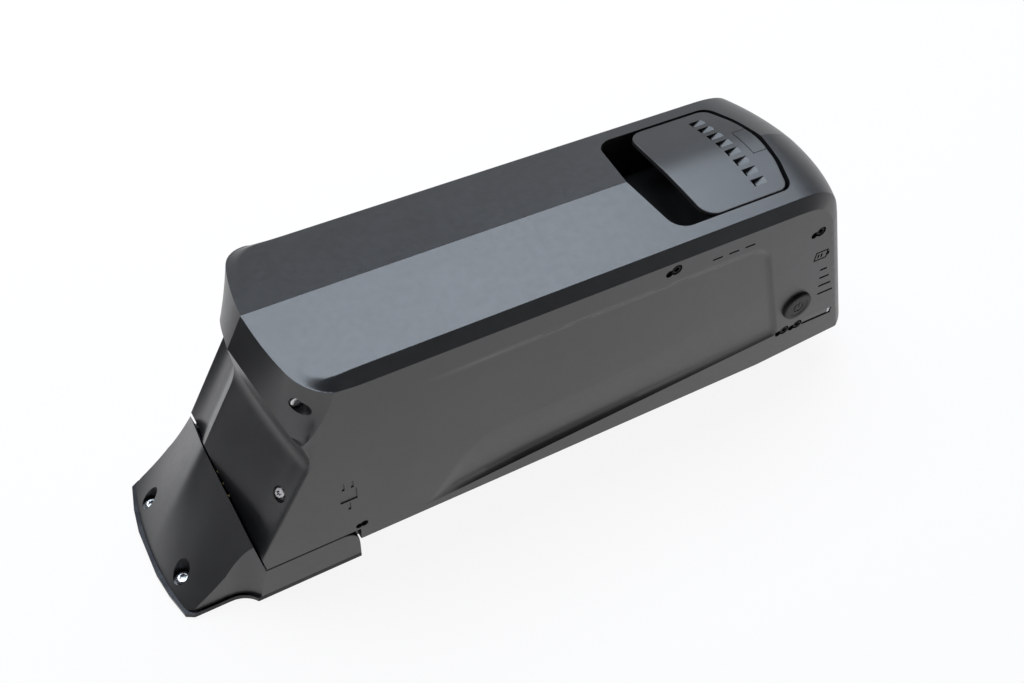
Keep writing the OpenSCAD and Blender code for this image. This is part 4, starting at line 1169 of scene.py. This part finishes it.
@dataclass
class PressButton:
    """Round button with a dished face and an engraved power sign."""

    finishes: Finishes
    x: float = 133.715
    z: float = 49.5
    radius: float = 7.9
    face_y: float = -46.0
    flange_y: float = -41.1
    flange_r: float = 9.2
    stem_y: float = -39.8
    stem_r: float = 3.95
    end_y: float = -38.6

    def build(self) -> None:
        """Build the button and put it on its slide."""
        face, flange, stem, end = (
            (self.x, y, self.z) for y in (self.face_y, self.flange_y, self.stem_y, self.end_y))
        obj = rod("press_button", self.radius, flange, face, 96)
        choose_faces(obj, lambda side: side.normal.y < -0.9)
        bevel(obj, "FACE", 0.9, 4)
        choose_faces(obj, lambda side: side.normal.y < -0.99 and side.area > 1e-5)
        mode("EDIT")
        bpy.ops.mesh.inset(thickness=1.3 * MM)
        bpy.ops.mesh.inset(thickness=0.5 * MM, depth=-0.35 * MM)
        mode("OBJECT")
        carve(obj, rod("flange", self.flange_r, flange, stem, 64), Work.JOIN)
        carve(obj, rod("stem", self.stem_r, stem, end, 48), Work.JOIN)
        self.engrave(obj)
        smooth(obj, 30)
        place_piece(obj, "button", self.finishes, "rubber", "power_button")

    def engrave(self, obj: Obj) -> None:
        """Cut the power sign: an open ring with a stroke at its top."""
        top, floor = self.face_y - 5, self.face_y + 0.35 + 0.3
        ring = rod("ring", 3.0, (self.x, top, self.z), (self.x, floor, self.z), 48)
        bore(ring, "ring_room", 2.3, (self.x, top - 1, self.z), (self.x, floor + 1, self.z), 48)
        notch(ring, "ring_gap", (self.x - 1.1, top - 1, self.z), (self.x + 1.1, floor + 1, self.z + 9))
        carve(obj, ring)
        notch(obj, "stroke", (self.x - 0.35, top, self.z + 0.4), (self.x + 0.35, floor, self.z + 3.6))


@dataclass
class ChargeGauge:
    """Four light guides set back in their windows, and the strip under the button."""

    finishes: Finishes
    row: GaugeRow
    face_y: float = -43.3
    plate_y: float = -41.1
    back_y: float = -39.9
    strip_y: Point = (-43.5, -42.8)
    strip_z: Point = (31.6, 35.6)

    def build(self) -> None:
        """Build the light guides and the strip."""
        for i, (x, z, length) in enumerate(self.row.bars()):
            name, end = f"light_guide_{i + 1}", x + length
            obj = block(name, (x, self.face_y, z - 0.5), (end, self.plate_y, z + 0.5))
            plate = block("plate", (x - 1.5, self.plate_y, z - 2.9), (end + 0.8, self.back_y, z + 2.9))
            carve(obj, plate, Work.JOIN)
            self.soften(obj, 0.15)
            place_piece(obj, "pack", self.finishes, "light_bar", "gauge_bars")
        (near, deep), (low, high) = self.strip_y, self.strip_z
        for name, slot, start, end in (
                ("strip_guide", "light_bar", 142.31, 159.0), ("strip_end", "steel", 159.1, 160.81)):
            strip = block(name, (start, near, low), (end, deep, high))
            self.soften(strip, 0.3)
            place_piece(strip, "pack", self.finishes, slot, "catch_strip")

    def soften(self, obj: Obj, size: float) -> None:
        """Round every edge of a small piece."""
        take(obj)
        step = obj.modifiers.new("soften", "BEVEL")
        step.width = size * MM
        step.segments = 3
        bpy.ops.object.modifier_apply(modifier=step.name)
        smooth(obj, 40)


@dataclass
class Screws:
    """The object's screws: one pan head with a six-lobed drive, copied to each place."""

    finishes: Finishes
    shell: ShellHalves
    nose: DockNose
    nose_head_r: float = 3.0
    head_r: float = 2.6
    head_t: float = 1.3
    shank_r: float = 1.5
    side_y: float = 43.9
    rear_y: float = 43.7

    def pattern(self, scale: float, length: float) -> Obj:
        """One screw that points down from the origin, with its head's top at z 0."""
        radius, thick = self.head_r * scale, self.head_t * scale
        obj = rod("screw", radius, (0, 0, -thick), (0, 0, 0), 48)
        choose_faces(obj, lambda face: face.normal.z > 0.9)
        bevel(obj, "FACE", 0.9 * scale, 5)
        turns = np.linspace(0, math.tau, 49)[:-1]
        reach = radius * (0.47 + 0.09 * np.cos(6 * turns))
        lobes = list(zip(reach * np.cos(turns), reach * np.sin(turns)))
        carve(obj, prism("drive", lobes, -0.75 * thick, 5))
        carve(obj, rod("shank", self.shank_r, (0, 0, -length), (0, 0, -0.9 * thick), 24), Work.JOIN)
        return smooth(obj, 32)

    def build(self) -> None:
        """Set every screw that shows: head's top, way that it faces, length, slot and node."""
        near, far, up = (0, -1, 0), (0, 1, 0), (0, 0, 1)
        shell, nose = self.shell, self.nose
        (tub_x, tub_z), (rear_x, rear_z) = shell.tub_screw, shell.rear_screw
        screws = [
            ("tub_screw_near", (tub_x, -self.side_y, tub_z), near, 8.9, "black_steel", "tub_screws"),
            ("tub_screw_far", (tub_x, self.side_y, tub_z), far, 8.9, "black_steel", "tub_screws"),
            *((f"carrier_screw_{i + 1}", (x, -self.side_y, z), near, 6.9, "black_steel", "carrier_screws")
              for i, (x, z) in enumerate(shell.carrier_screws)),
            ("rear_screw", (rear_x, -self.rear_y, rear_z), near, 57.7, "black_steel", "shell_screws"),
            ("hood_screw", shell.hood_screw, near, 50.0, "steel", "shell_screws"),
            ("cove_screw", shell.cove_screw, shell.cove_out, 12.0, "steel", "shell_screws"),
            *((f"nose_screw_{name}", (nose.screw_x, y, nose.head_z), up, 5.2, "steel", "nose_screws")
              for name, y in (("near", -nose.screw_y), ("far", nose.screw_y))),
        ]
        for name, head, way, length, slot, node in screws:
            on_nose = node == "nose_screws"
            obj = self.pattern(self.nose_head_r / self.head_r if on_nose else 1.0, length)
            turn = Vector(way).to_track_quat("Z", "Y").to_matrix().to_4x4()
            obj.data.transform(Matrix.Translation(Vector(head) * MM) @ turn)
            obj.name = obj.data.name = name
            place_piece(obj, "base" if on_nose else "pack", self.finishes, slot, node)


# The studio


@dataclass
class Studio:
    """Floor, lamps and camera."""

    eye: Point = (-189.6, -295.2, 432.5)
    azimuth: float = -32.72
    elevation: float = 47.65
    roll: float = 4.02
    lens: float = 39.37
    sensor: float = 36.0
    flags_face: Point = (-0.125, -0.02)

    def build(self) -> None:
        """Set up the view, the floor, the light and the camera."""
        bpy.context.scene.view_settings.view_transform = "Standard"
        self.floor()
        self.world()
        self.softbox("roof_softbox", (0.15, 0.48, 1.2), (0.15, 0.48, 0.0), (1.7, 0.85), 5.2, (0.9, 1.0, 1.13))
        self.softbox("side_softbox", (-0.62, 0.9, 0.3), (0.0, 0.0, 0.1), (0.7, 0.5), 3.0, (1.0, 1.0, 1.0))
        self.flag("hood_flag", (-0.27, 0.08, 0.06), (0.17, 0.24))
        self.flag("cove_flag", (-0.3, -0.07, 0.0), (0.14, 0.12))
        self.camera()

    def floor(self) -> None:
        """Pale floor that shows white to the camera and in reflections and keeps a faint shadow."""
        clear()
        bpy.ops.mesh.primitive_circle_add(vertices=64, radius=30.0, fill_type="NGON")
        obj = seat(bpy.context.object, "studio_floor")
        material = bpy.data.materials.new("studio_floor")
        material.use_nodes = True
        g = Graph(material.node_tree)
        g.tree.nodes.remove(g.tree.nodes["Principled BSDF"])
        path = g.add("ShaderNodeLightPath").outputs
        seen = g.maths("MAXIMUM", path["Is Camera Ray"], path["Is Glossy Ray"])
        seen = g.maths("MAXIMUM", seen, path["Is Transmission Ray"])
        mix = g.add("ShaderNodeMixShader", Fac=g.maths("MULTIPLY", seen, 0.9))
        g.join(mix.inputs[1], g.add("ShaderNodeBsdfDiffuse", Color=(0.8, 0.8, 0.8, 1)).outputs[0])
        g.join(mix.inputs[2], g.add("ShaderNodeEmission").outputs[0])
        g.join(g.tree.nodes["Material Output"].inputs["Surface"], mix.outputs[0])
        obj.data.materials.append(material)

    def world(self) -> None:
        """Pale band round the horizon under a dark studio ceiling."""
        world = bpy.data.worlds.new("studio")
        world.use_nodes = True
        g = Graph(world.node_tree)
        place = g.add("ShaderNodeTexCoord").outputs["Generated"]
        height = g.add("ShaderNodeSeparateXYZ", Vector=place).outputs["Z"]
        band = g.ramp(height, grey(0.9), grey(0.03), (0.3, 0.45))
        g.join(g.tree.nodes["Background"].inputs["Color"], band)
        bpy.context.scene.world = world

    def softbox(self, name: str, place: Point, aim: Point, size: Point, radiance: float,
                colour: Point) -> None:
        """Set up a flat soft lamp.

        Args:
            name: the lamp's name.
            place: its centre, in metres.
            aim: the point that it faces.
            size: its width and height.
            radiance: how bright its face is, where 1 is a white surface in plain light.
            colour: its tint.
        """
        lamp = bpy.data.lights.new(name, "AREA")
        lamp.shape = "RECTANGLE"
        lamp.size, lamp.size_y = size
        lamp.energy = radiance * math.pi * size[0] * size[1]
        lamp.color = colour
        obj = bpy.data.objects.new(name, lamp)
        obj.location = place
        obj.rotation_euler = (Vector(aim) - Vector(place)).to_track_quat("-Z", "Y").to_euler()
        bpy.context.scene.collection.objects.link(obj)

    def flag(self, name: str, place: Point, size: Point) -> None:
        """Stand a black card beside the object, which only reflections see, at a place in metres."""
        away = Vector(place) - Vector((*self.flags_face, place[2]))
        clear()
        turn = away.to_track_quat("Z", "Y").to_euler()
        bpy.ops.mesh.primitive_plane_add(size=1.0, location=place, rotation=turn)
        bpy.context.object.scale = (*size, 1.0)
        obj = seat(bpy.context.object, name)
        obj.visible_camera = obj.visible_diffuse = obj.visible_shadow = obj.visible_transmission = False
        material = bpy.data.materials.new(name)
        material.use_nodes = True
        inputs = material.node_tree.nodes["Principled BSDF"].inputs
        inputs["Base Color"].default_value = (0, 0, 0, 1)
        inputs["Specular IOR Level"].default_value = 0.0
        obj.data.materials.append(material)

    def camera(self) -> None:
        """Camera where the photograph was taken from."""
        turn, rise, roll = (math.radians(v) for v in (self.azimuth, self.elevation, self.roll))
        aim = (Matrix.Rotation(turn, 4, "Z") @ Matrix.Rotation(math.pi / 2 - rise, 4, "X")
               @ Matrix.Rotation(roll, 4, "Z"))
        lens = bpy.data.cameras.new("photo_camera")
        lens.lens = self.lens
        lens.sensor_width = self.sensor
        obj = bpy.data.objects.new("photo_camera", lens)
        obj.matrix_world = Matrix.Translation(Vector(self.eye) * MM) @ aim
        bpy.context.scene.collection.objects.link(obj)
        bpy.context.scene.camera = obj


def main() -> None:
    """Build the object piece by piece."""
    logging.basicConfig(level=logging.INFO, format="%(name)s %(message)s")
    finishes = Finishes()
    finishes.dress_frame()
    form = ShellForm()
    gauge = GaugeRow()
    button = PressButton(finishes)
    shell = ShellHalves(form, finishes, gauge, button)
    nose = DockNose(finishes, form)
    shell.build()
    CarryFlap(finishes).build()
    nose.build()
    button.build()
    Screws(finishes, shell, nose).build()
    ChargeGauge(finishes, gauge).build()
    Studio().build()


if __name__ == "__main__":
    main()
